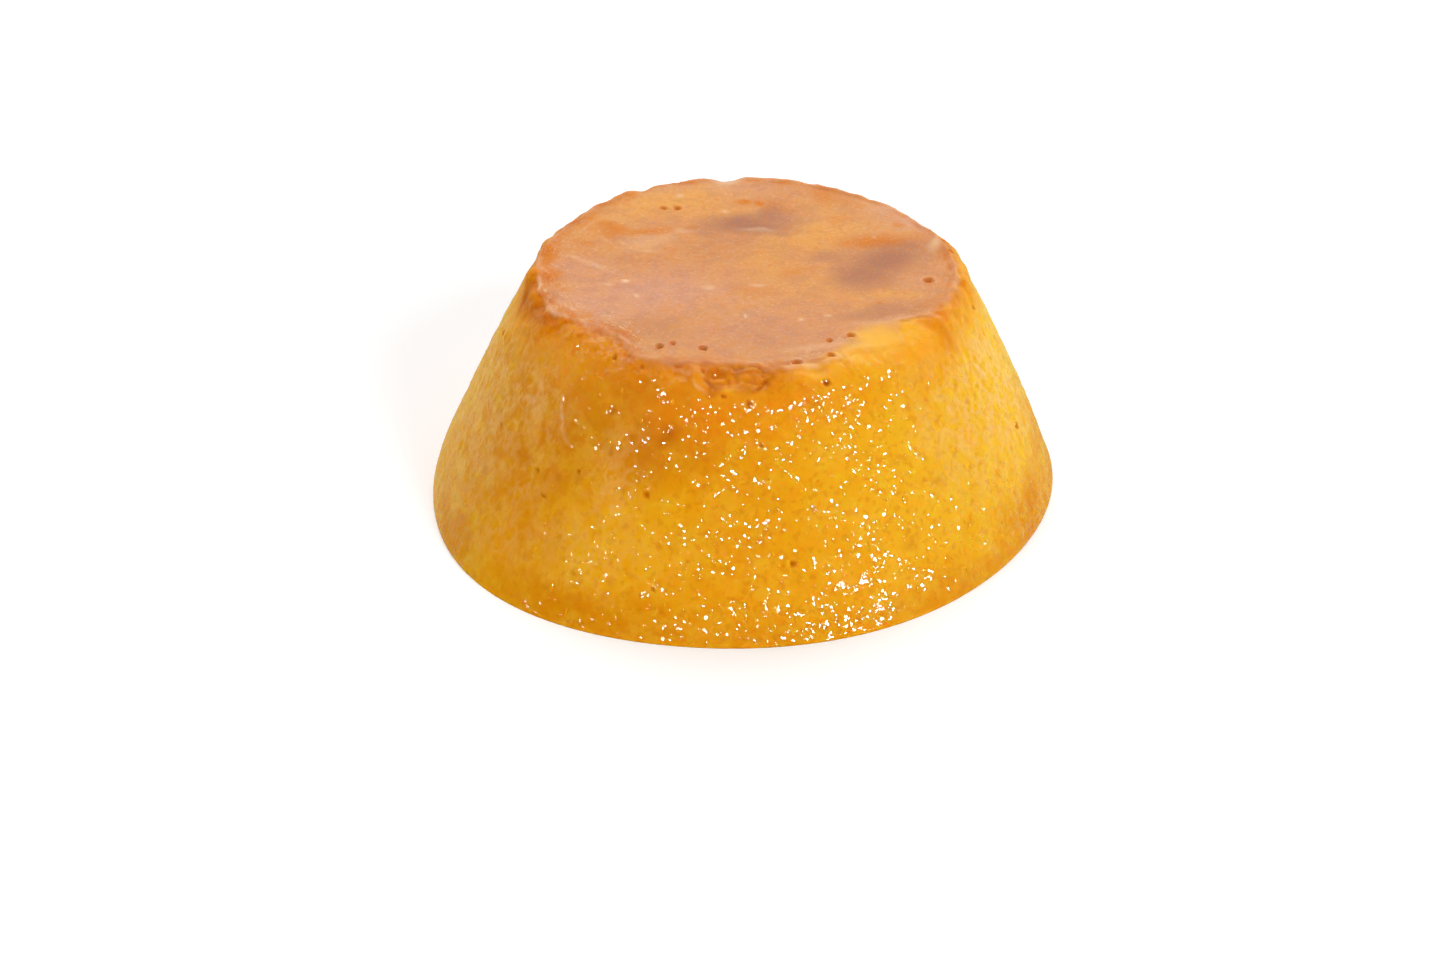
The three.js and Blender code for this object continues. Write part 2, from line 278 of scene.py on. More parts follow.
def bubble_places():
    """Middle on the skin and radius of every open bubble: the named ones, then drawn ones that keep clear."""
    draw = seeded_draw(BUBBLE_SEED)
    placed = []
    for azimuth, radius, size in TOP_BUBBLES:
        share = min(1, radius / (wall_radius(azimuth, 1) - shoulder(azimuth)[0]))
        placed.append((skin(azimuth, "top", share)[0], size))
    for stretch, wanted in (("shoulder", RIM_BUBBLES), ("wall", WALL_BUBBLES)):
        made = 0
        tries = 0
        while made < wanted and tries < BUBBLE_TRIES * wanted:
            tries += 1
            azimuth = 360 * next(draw)
            share = next(draw)
            if stretch == "wall":
                share = BUBBLE_WALL_BAND[0] + (BUBBLE_WALL_BAND[1] - BUBBLE_WALL_BAND[0]) * share
            size = BUBBLE_RADIUS[0] + (BUBBLE_RADIUS[1] - BUBBLE_RADIUS[0]) * next(draw) ** 2
            middle = skin(azimuth, stretch, share)[0]
            if min(np.linalg.norm(middle - other) for other, _ in placed) >= BUBBLE_GAP:
                placed.append((middle, size))
                made += 1
    return placed


# ----------------------------------------------------------------------------------- custard: its mesh
# One closed skin: rings round the axis from the middle of the top, over the shoulder and down the wall, then
# a flat base. A ring has twice the columns of the last where the triangles would grow too wide.

COLUMNS = 560
TOP_RINGS = 72
SHOULDER_RINGS = 17
WALL_RINGS = 104
FOOT_RINGS = 4

rings = []  # stretch, share, columns
for ring in range(1, TOP_RINGS + 1):
    share = ring / TOP_RINGS
    halvings = min(4, int(-math.log2(share) + 0.2))
    rings.append(("top", share, COLUMNS >> halvings))
for ring in range(1, SHOULDER_RINGS + 1):
    rings.append(("shoulder", ring / SHOULDER_RINGS, COLUMNS))
foot_share = 1 - FOOT_ROUND / HEIGHT
for ring in range(1, WALL_RINGS + 1):
    rings.append(("wall", foot_share * ring / WALL_RINGS, COLUMNS))
for ring in range(1, FOOT_RINGS + 1):
    rings.append(("wall", foot_share + (1 - foot_share) * ring / FOOT_RINGS, COLUMNS))

points = [skin(np.zeros(1), "top", 0)[0]]
facing = [np.array([[0.0, 0.0, 1.0]])]
azimuths = [np.zeros(1)]
travel = [np.zeros(1)]  # 0 to 1 on the top, 1 to 2 on the shoulder, 2 to 3 on the wall
for stretch, share, columns in rings:
    azimuth = np.arange(columns) * 360 / columns
    place, out = skin(azimuth, stretch, share)
    points.append(place)
    facing.append(out)
    azimuths.append(azimuth)
    travel.append(np.full(columns, {"top": 0, "shoulder": 1, "wall": 2}[stretch] + share))
points = np.concatenate(points)
facing = np.concatenate(facing)
azimuths = np.concatenate(azimuths)
travel = np.concatenate(travel)

faces = []
start = 1
inner_columns = rings[0][2]
for column in range(inner_columns):
    faces.append((0, start + column, start + (column + 1) % inner_columns))
for (_, _, inner), (_, _, outer) in zip(rings, rings[1:]):
    after = start + inner
    for column in range(inner):
        a = start + column
        b = start + (column + 1) % inner
        if outer == inner:
            faces.append((a, after + column, after + (column + 1) % outer, b))
        else:
            c = after + 2 * column
            d = c + 1
            e = after + (2 * column + 2) % outer
            faces.extend([(a, c, d), (a, d, b), (b, d, e)])
    start = after
base_middle = len(points)
points = np.concatenate([points, [[*BASE_CENTRE, 0]]])
facing = np.concatenate([facing, [[0, 0, -1]]])
azimuths = np.append(azimuths, 0)
travel = np.append(travel, 3)
for column in range(COLUMNS):
    faces.append((base_middle, start + (column + 1) % COLUMNS, start + column))

# --------------------------------------------------------------- custard: its torn skin, bubbles and creases
# The baked skin of the top is a thin hide that stops in a ragged edge at the rim. Below it the curd is bare
# and crumbly. Steam left open bubbles with a small lip, and the hide is creased where the mould pulled at it.

# How far down the skin reaches: 1 is the edge of the flat top, 2 the foot of the shoulder.
SKIN_EDGE = [  # azimuth, reach
    (-180, 1.1), (-174, 1.15), (-170, 1.3), (-164, 1.36), (-156, 1.4), (-152, 1.2), (-145, 1.12),
    (-140, 1.04), (-135, 0.98), (-130, 1.04), (-126, 1.15), (-123, 1.2), (-112, 1.18), (-109, 0.985),
    (-98, 0.965), (-87, 0.96), (-84, 1.08), (-60, 1.12), (-54, 1.24), (-45, 1.38), (-41, 1.42), (-38, 1.05),
    (-34, 0.97), (-27, 0.99), (-10, 1.02), (30, 1.2), (80, 1.05), (130, 1.25), (180, 1.1),
]
EDGE_WANDER = [(0.5, 3.1 * MM), (0.3, 1.2 * MM)]  # millimetres either way, and the length of the wander
EDGE_FADE = [  # azimuth, and over how many millimetres the skin thins out there
    (-180, 0.4), (-128, 0.4), (-118, 0.7), (-104, 0.4), (-70, 0.4), (-62, 1), (-50, 2.2), (-38, 1.4),
    (-31, 0.6), (-10, 0.8), (60, 0.5), (180, 0.4),
]
SKIN_THICKNESS = 0.12 * MM
SKIN_ENDS = (-0.1, 0.35)  # millimetres past its edge where the skin thins, and where it has ended
SKIN_BEAD = (0.1, -0.25, 0.4)  # height, place past the edge and width of its thick edge, in millimetres
CURD_HEIGHT = 0.2 * MM
CURD_LENGTH = 1.6 * MM
CRUMB_STARTS = (-1.2, 0.4)  # millimetres past the skin's edge
CRUMB_ENDS = (5.5, 2.0)
SMOOTH_RIM = [(-62, 20), (-46, 10)]  # azimuth and spread of the stretches that stayed smooth
SMOOTHNESS = 0.8
BUBBLE_LIP = 0.16  # how far the edge of a bubble's mouth stands up, as a share of its radius
BUBBLE_LIP_PLACE = (1.15, 0.3)  # place and width of that edge, as shares of the mouth's radius
HOLE_SHADE = 1.6
FOLD_WIDTH = 0.26 * MM
WALL_FOLDS = [  # height of the fold in millimetres, then its path by azimuth and height
    (0.1, [(-144.5, 27), (-142, 25.8), (-139.8, 25.2), (-138.2, 24), (-137, 22.2), (-135.2, 21),
      (-131, 19.8)]),
    (0.06, [(-148.5, 26), (-146.5, 23.8), (-146, 21.5), (-143.5, 19)]),
    (0.06, [(-29.5, 27), (-27, 23.5), (-26.5, 20.5), (-24, 17.5)]),
    (0.08, [(-22, 26.5), (-20.5, 22.5), (-18, 19)]),
    (0.06, [(-14, 25), (-13, 21.5), (-10.5, 17), (-10, 13)]),
]
TOP_FOLDS = [  # height, then its path by x and y in millimetres from the middle of the top
    (0.07, [(-23.4, 5.2), (-21, 3.6), (-18.8, 2.4), (-16.6, 1.6)]),
    (0.06, [(-18.3, 1.9), (-15.4, 2.6), (-12.6, 3.4), (-9.6, 3.7)]),
    (0.06, [(-16.3, 8.4), (-15.2, 6.9), (-12.6, 5.8), (-10, 6.4)]),
    (0.08, [(0.3, 11.9), (1.8, 12.2), (3.4, 11.6), (4.6, 10.2)]),
    (0.05, [(7.4, -20.6), (9.4, -20.4), (11, -19.4), (12.6, -18.9)]),
    (0.08, [(-26, -5.4), (-24.6, -7), (-23.6, -9.2), (-21.4, -11.4)]),
    (0.06, [(-24.6, -4), (-23, -6), (-21.4, -7.2)]),
]
RIM_FOLDS = [  # height, below zero for a crevice, then its path by azimuth and millimetres below the edge
    (-0.6, [(-104, 0.3), (-102.5, 0.9), (-100.8, 1.9), (-98.8, 3.1)]),
    (-0.35, [(-95.5, -0.4), (-93, 0), (-90.4, -0.4), (-87.6, -0.2), (-86.2, 0.4)]),
    (-0.45, [(-86, 0.6), (-84.7, 1.4), (-85.6, 2.2), (-87, 2.8), (-89.5, 3.3)]),
    (-0.25, [(-118.5, -1.8), (-121, -0.4), (-123, 1), (-123.2, 2.2)]),
    (-0.12, [(-62.8, 0.8), (-62.5, 2), (-61.8, 3.6)]),
    (0.14, [(-121.5, 1), (-117, 0.6), (-112.5, 0.7), (-108.5, 1.3), (-106, 1.9)]),
    (0.12, [(-104.5, 2.6), (-102.5, 3.2), (-100.5, 3.7)]),
    (0.12, [(-134, 2.2), (-130, 1.7), (-126, 2), (-123.8, 2.4)]),
    (0.1, [(-146, 1), (-141, 1.4), (-136.5, 1), (-131.5, 1.4)]),
    (0.12, [(-177, 0), (-172, -0.3), (-167, 0.5), (-162, 1.2)]),
]
LIP = [  # azimuth, and how far the skin's edge has curled up into a pale lip
    (-180, 0.3), (-175, 1), (-150, 0.8), (-140, 0.5), (-122, 0.6), (-112, 0.9), (-106, 0.4), (-96, 0.3),
    (-84, 0.3), (-78, 0.8), (-62, 0.5), (-50, 0.1), (-20, 0.2), (30, 0.3), (180, 0.3),
]
LIP_HEIGHT = 0.13  # in millimetres
LIP_PLACE = (-0.1, 0.28)  # millimetres past the skin's edge, and its width
FOLD_WANDER = [(0.5 * MM, 1.7 * MM), (0.3 * MM, 0.7 * MM)]  # how far a fold strays, and over what length
FOLD_BREAKS = (0.75, 0.9, 1.5 * MM)  # how whole a fold is, how much that changes, and over what length
FOLD_LEAST = 0.15
CREVICE_LEAST = 0.6
FOLD_START = 0.12  # how full a fold is at its start, where one is half the way round
TORN_DENTS = [  # azimuth, then millimetres below the top's edge, size and depth
    (-90.6, 1.7, 1.5, 0.85), (-93, 0.9, 0.9, 0.35), (-100.8, 1.2, 0.8, 0.3), (-85.5, 1.6, 1.2, -0.35),
]
TORN_MIDDLE = (-93, 8)  # azimuth and its spread
TORN_BELOW = (1.4, 1.6)  # millimetres below the top's edge, and their spread
ROUGH_TORN = (0.42 * MM, 0.8 * MM)  # height and length of the lumps where the skin tore off


def over_surface(middle, reach):
    """Points of the skin within a reach of a middle, and how far off each is."""
    far = np.linalg.norm(points + stray - middle, axis=1)
    near = np.flatnonzero(far < reach)
    return near, far[near]


def soft(value, start, end):
    """Runs smoothly from 0 to 1 as the value goes from start to end."""
    part = np.clip((value - start) / (end - start), 0, 1)
    return part * part * (3 - 2 * part)


def rim_way(azimuth, travel):
    """Millimetres down the skin from the edge of the flat top, below zero inside it."""
    width, drop = shoulder(azimuth)
    across_top = wall_radius(azimuth, 1) - width
    round_shoulder = math.pi / 2 * np.sqrt((width**2 + drop**2) / 2)
    down_wall = math.hypot(BASE_RADIUS - TOP_RADIUS, HEIGHT)
    way = across_top * (np.minimum(travel, 1) - 1) + round_shoulder * np.clip(travel - 1, 0, 1)
    return (way + down_wall * np.clip(travel - 2, 0, 1)) / MM


def along(path, steps=12):
    """The path through its points as a smooth run of short steps."""
    path = np.array(path, float)
    ends = np.vstack([2 * path[0] - path[1], path, 2 * path[-1] - path[-2]])
    run = []
    for a, b, c, d in zip(ends, ends[1:], ends[2:], ends[3:]):
        for t in np.linspace(0, 1, steps, endpoint=False):
            run.append(0.5 * (2*b + (c - a)*t + (2*a - 5*b + 4*c - d)*t*t + (3*b - a - 3*c + d)*t**3))
    return np.array(run + [path[-1]])


def on_wall(azimuth, height):
    """The finished skin at an azimuth and a height in millimetres on the wall."""
    _, drop = shoulder(azimuth)
    return skin(azimuth, "wall", 1 - height * MM / (HEIGHT - drop))[0]


def on_rim(azimuth, below):
    """The finished skin at an azimuth and a number of millimetres down from the edge of the flat top."""
    across_top = (wall_radius(azimuth, 1) - shoulder(azimuth)[0]) / MM
    round_shoulder = rim_way(azimuth, 2)
    if below < 0:
        return skin(azimuth, "top", 1 + below / across_top)[0]
    if below < round_shoulder:
        return skin(azimuth, "shoulder", below / round_shoulder)[0]
    return skin(azimuth, "wall", (below - round_shoulder) / (rim_way(azimuth, 3) - round_shoulder))[0]


def on_top(x, y):
    """The finished skin at millimetres from the middle of the top."""
    azimuth = math.degrees(math.atan2(y, x))
    share = math.hypot(x, y) * MM / (wall_radius(azimuth, 1) - shoulder(azimuth)[0])
    return skin(azimuth, "top", min(1, share))[0]


turned = (azimuths + 180) % 360 - 180
below_edge = rim_way(azimuths, travel)
past_skin = below_edge - rim_way(turned, np.interp(turned, *zip(*SKIN_EDGE)))
for reach, length in EDGE_WANDER:
    past_skin += reach * smooth_noise(points, length, (1, 2, 9))
bare = soft(past_skin, *SKIN_ENDS)
skin_edge = past_skin / np.interp(turned, *zip(*EDGE_FADE))

bead_height, bead_place, bead_width = SKIN_BEAD
out = SKIN_THICKNESS * (1 - bare) + bead_height * MM * bump(past_skin - bead_place, bead_width)
torn = bump(azimuth_gap(azimuths, TORN_MIDDLE[0]), TORN_MIDDLE[1])
torn *= bump(below_edge - TORN_BELOW[0], TORN_BELOW[1])
out += ROUGH_TORN[0] * torn * smooth_noise(points, ROUGH_TORN[1], (3, 1, 6))
for azimuth, below, size, depth in TORN_DENTS:
    out -= depth * MM * bump(np.linalg.norm(points - on_rim(azimuth, below), axis=1), size * MM)
crumbly = soft(past_skin, *CRUMB_STARTS) * soft(past_skin, *CRUMB_ENDS)
for middle, spread in SMOOTH_RIM:
    crumbly *= 1 - SMOOTHNESS * bump(azimuth_gap(azimuths, middle), spread)
out += CURD_HEIGHT * crumbly * smooth_noise(points, CURD_LENGTH, (4, 4, 4))
points += facing * out[:, None]

stray = np.zeros(points.shape)
painted_hole_shade = np.zeros(len(points))
for middle, size in bubble_places():
    mouth = size * math.sqrt(1 - BUBBLE_LIFT**2)
    near, far = over_surface(middle, 2 * size)
    depth = np.sqrt(np.maximum(0, size**2 - far**2)) - BUBBLE_LIFT * size
    lip = BUBBLE_LIP * size * bump(far - BUBBLE_LIP_PLACE[0] * mouth, BUBBLE_LIP_PLACE[1] * mouth)
    points[near] += facing[near] * (lip - np.maximum(0, depth))[:, None]
    # Painted shade: each bubble's mouth is coloured darker towards its middle.
    painted_hole_shade[near] = np.maximum(painted_hole_shade[near], np.clip(HOLE_SHADE * (1 - far / mouth), 0, 1))

for reach, length in FOLD_WANDER:
    for k in range(3):
        stray[:, k] += reach * smooth_noise(points, length, (7 * k, 3, 5))
whole, change, length = FOLD_BREAKS
broken = np.clip(whole + change * smooth_noise(points, length, (2, 8, 1)), FOLD_LEAST, 1)
fold = np.zeros(len(points))
crevice = np.zeros(len(points))
for folds, place_of in ((WALL_FOLDS, on_wall), (TOP_FOLDS, on_top), (RIM_FOLDS, on_rim)):
    for rise, path in folds:
        run = along(path)
        strength = np.sin(np.linspace(FOLD_START, 1, len(run)) * math.pi) ** 0.5
        for (a, b), strong in zip(run, strength):
            near, far = over_surface(place_of(a, b), 4 * FOLD_WIDTH)
            here = fold if rise > 0 else crevice
            here[near] = np.maximum(here[near], abs(rise) * strong * bump(far, FOLD_WIDTH))
lip = np.interp(turned, *zip(*LIP)) * bump(past_skin - LIP_PLACE[0], LIP_PLACE[1])
fold = np.maximum(fold, LIP_HEIGHT * lip) * broken
crevice *= np.maximum(broken, CREVICE_LEAST)
points += facing * ((fold - crevice) * MM)[:, None]

body_mesh = bpy.data.meshes.new("custard_body")
body_mesh.from_pydata(points.tolist(), [], faces)
body_mesh.shade_smooth()
body = bpy.data.objects.new("custard_body", body_mesh)
bpy.context.scene.collection.objects.link(body)

# ---------------------------------------------------------------------------- custard: where it is stained
# The caramel baked into the top and ran over the rim: burnt grey-brown patches, amber streaks and golden
# places on top, an orange rim scorched brown in spots, and a wall from lemon through amber to tan. Beside
# these stains some numbers are painted light and shade: shade in hollows, crevices, bubble mouths and the
# torn patch, light on ridges and on the front right of the rim, sheen where the wall turns away, and glints
# on the top. Each is one number for each point of the skin.

WARP = [(1.1 * MM, 4.5 * MM), (0.45 * MM, 1.3 * MM)]  # how far outlines wander, and over what length
STAIN_EDGE = 0.8  # how softly a stain ends, as a share of its size
BURNT_PATCHES = [  # x, y, half length, half width in millimetres, turn in degrees, strength
    (0.6, 13.6, 5.4, 3, 3, 1), (3.6, 15.8, 2.8, 2.2, 60, 0.8), (-5.5, 12.2, 2.6, 1.2, 10, 0.4),
    (18.6, 3.2, 5.6, 3.6, 38, 1), (15.4, -0.8, 3.8, 3, 20, 0.9), (21.4, 6.2, 2.2, 2.2, 0, 0.8),
    (10.6, 4.6, 2.4, 1.4, -35, 0.5), (17, -10.6, 4.8, 1.5, 12, 0.6), (-12, -15, 4, 3.4, -35, 0.3),
    (3.9, 10.8, 1.4, 1, -50, 0.5), (4, -16, 9, 5, 0, 0.12), (-2.5, 8, 5, 3.4, 0, 0.16),
]
AMBER_STREAKS = [
    (17.8, 8.2, 4.4, 1.7, -2, 1), (21.6, 9.2, 1.6, 1.6, 0, 0.6), (-17.8, 12, 3.6, 1.3, -12, 0.85),
    (-13, 10.9, 2.4, 1, -8, 0.8), (-0.4, 20.3, 1.1, 0.7, -12, 1.1), (1.9, 19.6, 1.1, 0.7, -35, 1),
    (4.2, 18.4, 2, 1.6, -30, 0.5), (11.4, 21.6, 2.2, 1.6, -35, 0.75), (14.8, 20, 2, 1, -35, 0.5),
    (16.1, 18.9, 1, 0.8, 0, 0.6), (19.9, 13.3, 0.8, 0.7, 0, 0.7), (-26.6, 4.4, 3.2, 1.4, 75, 1),
    (-25.6, -1, 1.8, 1.5, 10, 0.9), (-20.8, 8.1, 1.4, 1, 0, 0.45), (-23.6, -3.2, 1.2, 0.7, -30, 0.6),
    (6.3, 0.5, 1.7, 1.2, 0, 0.35), (1.6, -4.6, 2.2, 1.4, 10, 0.35), (-7, 11.9, 0.9, 0.9, 0, 0.5),
    (-16.2, -15.9, 1.6, 0.8, 10, 0.7), (-20.8, -11.6, 1.4, 0.6, 30, 0.6), (12.6, 14.8, 1.6, 1, 0, 0.35),
    (-22, 14.2, 1.4, 1, 50, 0.5), (-15.4, 21.2, 1.2, 0.8, 60, 0.5), (-9.8, -9.4, 2, 0.9, 0, 0.15),
    (-24, -9.6, 2.4, 0.9, -55, 0.5), (17.3, -8.4, 0.4, 0.4, 0, 0.9), (26.2, 3.8, 1.2, 0.4, 70, 0.5),
]
GOLDEN_ZONES = [
    (-11, 19.4, 8, 3.6, 14, 1), (-19, 14.2, 5, 2.6, 45, 0.7), (9.6, 10.2, 5.6, 3.2, 30, 0.9),
    (3, 4.4, 3.6, 5.4, 0, 0.55), (18, -5.8, 4.4, 1.1, 5, 0.6), (8.4, -3.4, 4, 3.4, 0, 0.35),
    (18.8, 11.8, 3.4, 1.6, -20, 0.5), (-4, 16.6, 6, 2.6, 0, 0.6), (12, 17.4, 5, 2.6, -20, 0.4),
]
ROSE_ZONES = [
    (-13, -4.5, 9.5, 6.5, 15, 1), (-20, 1, 6, 3.4, 0, 0.7), (-19.5, -8.6, 6, 3, -35, 0.9),
    (2, -15.5, 9, 6, 0, 0.55), (22.4, -2.8, 3, 2.6, 0, 0.5), (21, 13.5, 5, 3.6, -30, 0.9),
    (-1, 23.4, 6, 2.4, 0, 0.5),
]
# Painted highlights: small pale flecks where glints shine on the top, and pale streaks where sheen lies on
# its front right.
PAINTED_GLINT_FLECKS = [
    (-15.8, -1.2, 0.5, 0.5, 0, 1), (-14, -5.8, 0.3, 0.4, 0, 0.7), (-0.7, -11.6, 0.25, 0.7, 0, 0.9),
    (-4.9, -3.3, 0.8, 0.6, 0, 0.5), (7, -12.2, 0.35, 0.5, 0, 0.6), (-18.4, -2.4, 0.8, 0.4, 0, 0.4),
    (1.8, -3, 0.9, 0.4, 0, 0.5), (-9, 21.6, 0.5, 0.6, 0, 0.6), (-2.9, 17.4, 0.5, 0.5, 0, 0.5),
    (1.6, 11.9, 2.2, 0.5, 0, 0.25), (-8.2, 11.3, 1.8, 0.5, 8, 0.35), (-12.6, 8, 3, 1.6, 12, 0.3),
    (18.2, -12.6, 3.6, 0.8, 16, 0.25), (8.2, -19.6, 3.4, 0.7, 8, 0.3), (-2.8, 26.4, 1.8, 0.7, 0, 0.9),
    (10.4, -11.2, 0.4, 0.4, 0, 0.5), (-20.4, 3.2, 3, 0.5, -30, 0.3), (16.9, 9.5, 0.3, 0.4, 0, 0.5),
    (25.2, 7.4, 1.4, 0.7, 60, 0.6), (16.7, -18.5, 3, 1.6, 40, 0.3), (19, 18, 4, 2, -45, 0.2),
]
BAKED_EDGE = (-3.4, 0.6)  # millimetres past the skin's edge where its orange edge starts, and is whole
BAKED_BELOW = (6, 0.5)  # millimetres past the skin's edge where the bare rim's orange ends, and is whole
UNDER_RIM = (9.0, 1.0)  # how far below the top the orange ends, and how far down it is whole
CRUST = [  # azimuth, and how dark the edge of the skin has baked there
    (-180, 1), (-168, 1), (-156, 1), (-147, 0.8), (-135, 0.6), (-125, 0.5), (-112, 0.3), (-104, 0.6),
    (-96, 0.6), (-84, 0.5), (-75, 0.35), (-62, 0.1), (-36, 0.1), (-28, 0.4), (-15, 0.4), (0, 0.5),
    (20, 0.4), (90, 0.5), (150, 0.7), (165, 1), (180, 1),
]
WRINKLED = [  # azimuth, and how wrinkled and flecked the skin is near its edge
    (-180, 0.7), (-165, 1), (-130, 1), (-118, 0.5), (-108, 0.2), (-86, 0.2), (-76, 0.8), (-58, 0.9),
    (-48, 0.3), (-32, 0.5), (-10, 0.5), (20, 0.3), (120, 0.2), (180, 0.7),
]
WET = [  # azimuth, and how thick the film of syrup lies there
    (-180, 0.3), (-152, 0.45), (-135, 0.9), (-125, 1), (-48, 1), (-34, 0.8), (-22, 0.5), (-8, 0.3),
    (40, 0.5), (90, 0.6), (140, 0.5), (180, 0.3),
]
# A zone on the side: azimuth, height or millimetres down from the top's edge, then half width and half height
# in millimetres, and strength.
DRY_ZONES = [  # by height
    (-107, 17, 6, 4, 0.6), (-113, 9, 9, 5, 0.6), (-126, 16, 6, 6, 0.75), (-122, 3, 14, 3, 0.7),
    (-138, 12, 8, 12, 0.85), (-128, 25, 4, 4, 0.4),
]
RUFFLED_ZONES = [  # by height: where the film is less even
    (-84, 15, 10, 9, 1.2), (-102, 12, 9, 9, 2), (-42, 15, 9, 12, 1.3), (-124, 14, 9, 12, 0.6),
    (-89, 14, 9, 9, 2.4), (-104, 22, 9, 4, 0.8), (-12, 14, 14, 15, 4), (-154, 14, 13, 15, 3),
]
CALM_ZONES = [(-108, 22, 6, 4, 0.7), (-75, 2, 22, 5, 1)]  # by height: where it is more even
RUFFLED = 0.5
CALMED = 0.3
GLARE_PLACE = on_wall(-69.9, 7.6)  # a smooth spot that mirrors a lamp as one patch
GLARE_REACH = 3.4 * MM
GLARE_FADE = (1.2, 0.5)  # how far from its middle that spot starts and is whole, as shares of its reach
CRUST_PLACE = 0.45  # millimetres past the skin's edge
CRUST_WIDTH = 1.2
CRUST_SHARE = 0.6
CRUST_BREAKS = [(1.1, 1.3 * MM, (6, 6, 1)), (0.6, 0.6 * MM, (1, 6, 1))]  # how much, length, which noise
LIT_SIDE_PAINT = (0.5, -58, 18)  # painted light: how much of the orange is left out where the key lamp falls, round which azimuth, and its spread
SPOT_STRENGTH = 0.7
STRAY_BELOW = 0.8
FOLD_SHADE = 0.11  # height in millimetres at which a fold is palest
CREVICE_SHADE = 0.25  # depth in millimetres at which the painted shade of a crevice is darkest
VEIL_DRIES = 0.5
FOOT_EDGE = 2.95  # how far down the skin's way the dips and ridges of the foot, and their painted shade and light, are left out
TORN_ZONES = [  # by millimetres down
    (-88.8, 1.5, 2.6, 2.2, 0.7), (-95.8, 0.4, 1.2, 0.8, 0.5), (-100, 2.2, 1.1, 1.2, 0.6),
    (-91.5, 0, 3.6, 0.9, 0.9), (-121.5, 0.6, 1.2, 1.4, 0.4), (-164, 1.8, 1.8, 1.2, 0.6),
    (-139, -0.6, 1.6, 0.5, 0.7), (-135.5, 0.2, 1.4, 0.5, 0.8), (-146, 1.2, 2, 0.8, 0.5),
]
# Painted highlight: the front right of the rim, where the key lamp and the room shine on the rounded
# shoulder, is coloured paler and brighter.
PAINTED_RIM_LIGHT_ZONES = [  # by millimetres down
    (-70, 1.2, 4, 1, 0.55), (-58, 1.6, 4, 1.5, 0.7), (-46, 1.9, 3.6, 2.2, 0.85), (-37, 2.6, 2.4, 2.4, 0.5),
]
# Partly a pale net of curd, partly painted sheen: the veil is strongest where the wall turns away at the
# sides, standing in for the bright room mirrored there.
VEIL_AND_SHEEN_ZONES = [  # by height
    (-168, 19, 15, 14, 0.7), (-176, 8, 13, 9, 0.5), (-150, 23.5, 7, 5, 0.8), (-143, 16, 6, 8, 0.45),
    (-119, 18, 4, 6, 0.5), (-140, 8, 9, 4, 0.4), (-120, 9, 9, 4, 0.35), (-33, 20, 7, 8, 0.8),
    (-17, 20, 11, 10, 1), (12, 21, 13, 7.5, 0.8), (40, 16, 16, 12, 0.8), (80, 15, 16, 11, 0.7),
    (120, 15, 16, 12, 0.9), (155, 16, 14, 12, 1),
]
# Partly scorched caramel, partly painted shade: the spots in the torn patch lie along its crevices and
# hollows.
RIM_SCORCH_AND_SHADE = [  # by millimetres down
    (-164, 2.3, 5, 1.2, 0.85), (-173.5, 2.6, 1.7, 1.8, 1.2), (-155, 2.4, 2.2, 0.7, 0.6),
    (-136, -0.8, 1.4, 0.5, 0.9), (-131, 0.6, 3.2, 0.5, 0.7), (-124.5, 1.4, 0.5, 1.4, 0.9),
    (-141, 0.6, 2.4, 0.4, 0.5), (-110, -0.4, 2.2, 0.6, 0.7), (-99, 2.9, 1, 0.8, 1),
    (-103.5, -0.7, 0.9, 0.5, 0.9), (-92.5, 0.1, 2.6, 0.5, 0.8), (-85, 1.4, 0.4, 1.3, 0.7),
    (-90, 2.7, 1.6, 0.7, 0.6), (-105, 1, 2, 1.2, 0.4), (-78, -0.8, 1.6, 0.5, 0.7),
    (-69, -0.1, 1.4, 0.4, 0.6), (-82, -0.2, 1.5, 0.5, 0.7), (-29, 4.4, 1.3, 2.2, 0.4),
    (-19, 2, 1.2, 0.7, 0.4), (-11.5, 1.2, 1.2, 0.7, 0.5), (-2, -0.2, 0.9, 0.3, 0.8),
    (1, -0.6, 1.1, 0.3, 0.8), (-122, 3.6, 5, 2, 0.3), (-60, 2, 0.3, 1.5, 0.4), (60, 0.6, 6, 0.8, 0.6),
    (100, 0.8, 8, 0.7, 0.6), (140, 0.8, 7, 0.8, 0.7), (20, 0.5, 5, 0.6, 0.5),
]
WALL_SPOTS = [  # by height
    (-107.5, 24, 1.1, 1.3, 1), (-122.8, 25.8, 0.5, 0.6, 1), (-131.4, 16.4, 0.5, 0.5, 0.8),
    (-126.8, 16.8, 0.5, 0.5, 0.8), (-121, 21.2, 0.5, 0.5, 0.7), (-143.5, 16.6, 1.6, 0.7, 0.6),
    (-153.4, 12, 0.9, 0.6, 0.7), (-133.2, 6, 0.8, 0.6, 0.6), (-122.4, 6.6, 0.5, 0.5, 0.6),
    (-116, 5.2, 0.6, 0.6, 0.5), (-149, 4.4, 0.9, 0.7, 0.5), (-46, 14, 1, 0.8, 0.4),
    (-57, 9, 0.7, 0.7, 0.35), (-74, 27, 0.6, 0.6, 0.4), (-95, 12, 0.8, 0.7, 0.3),
]
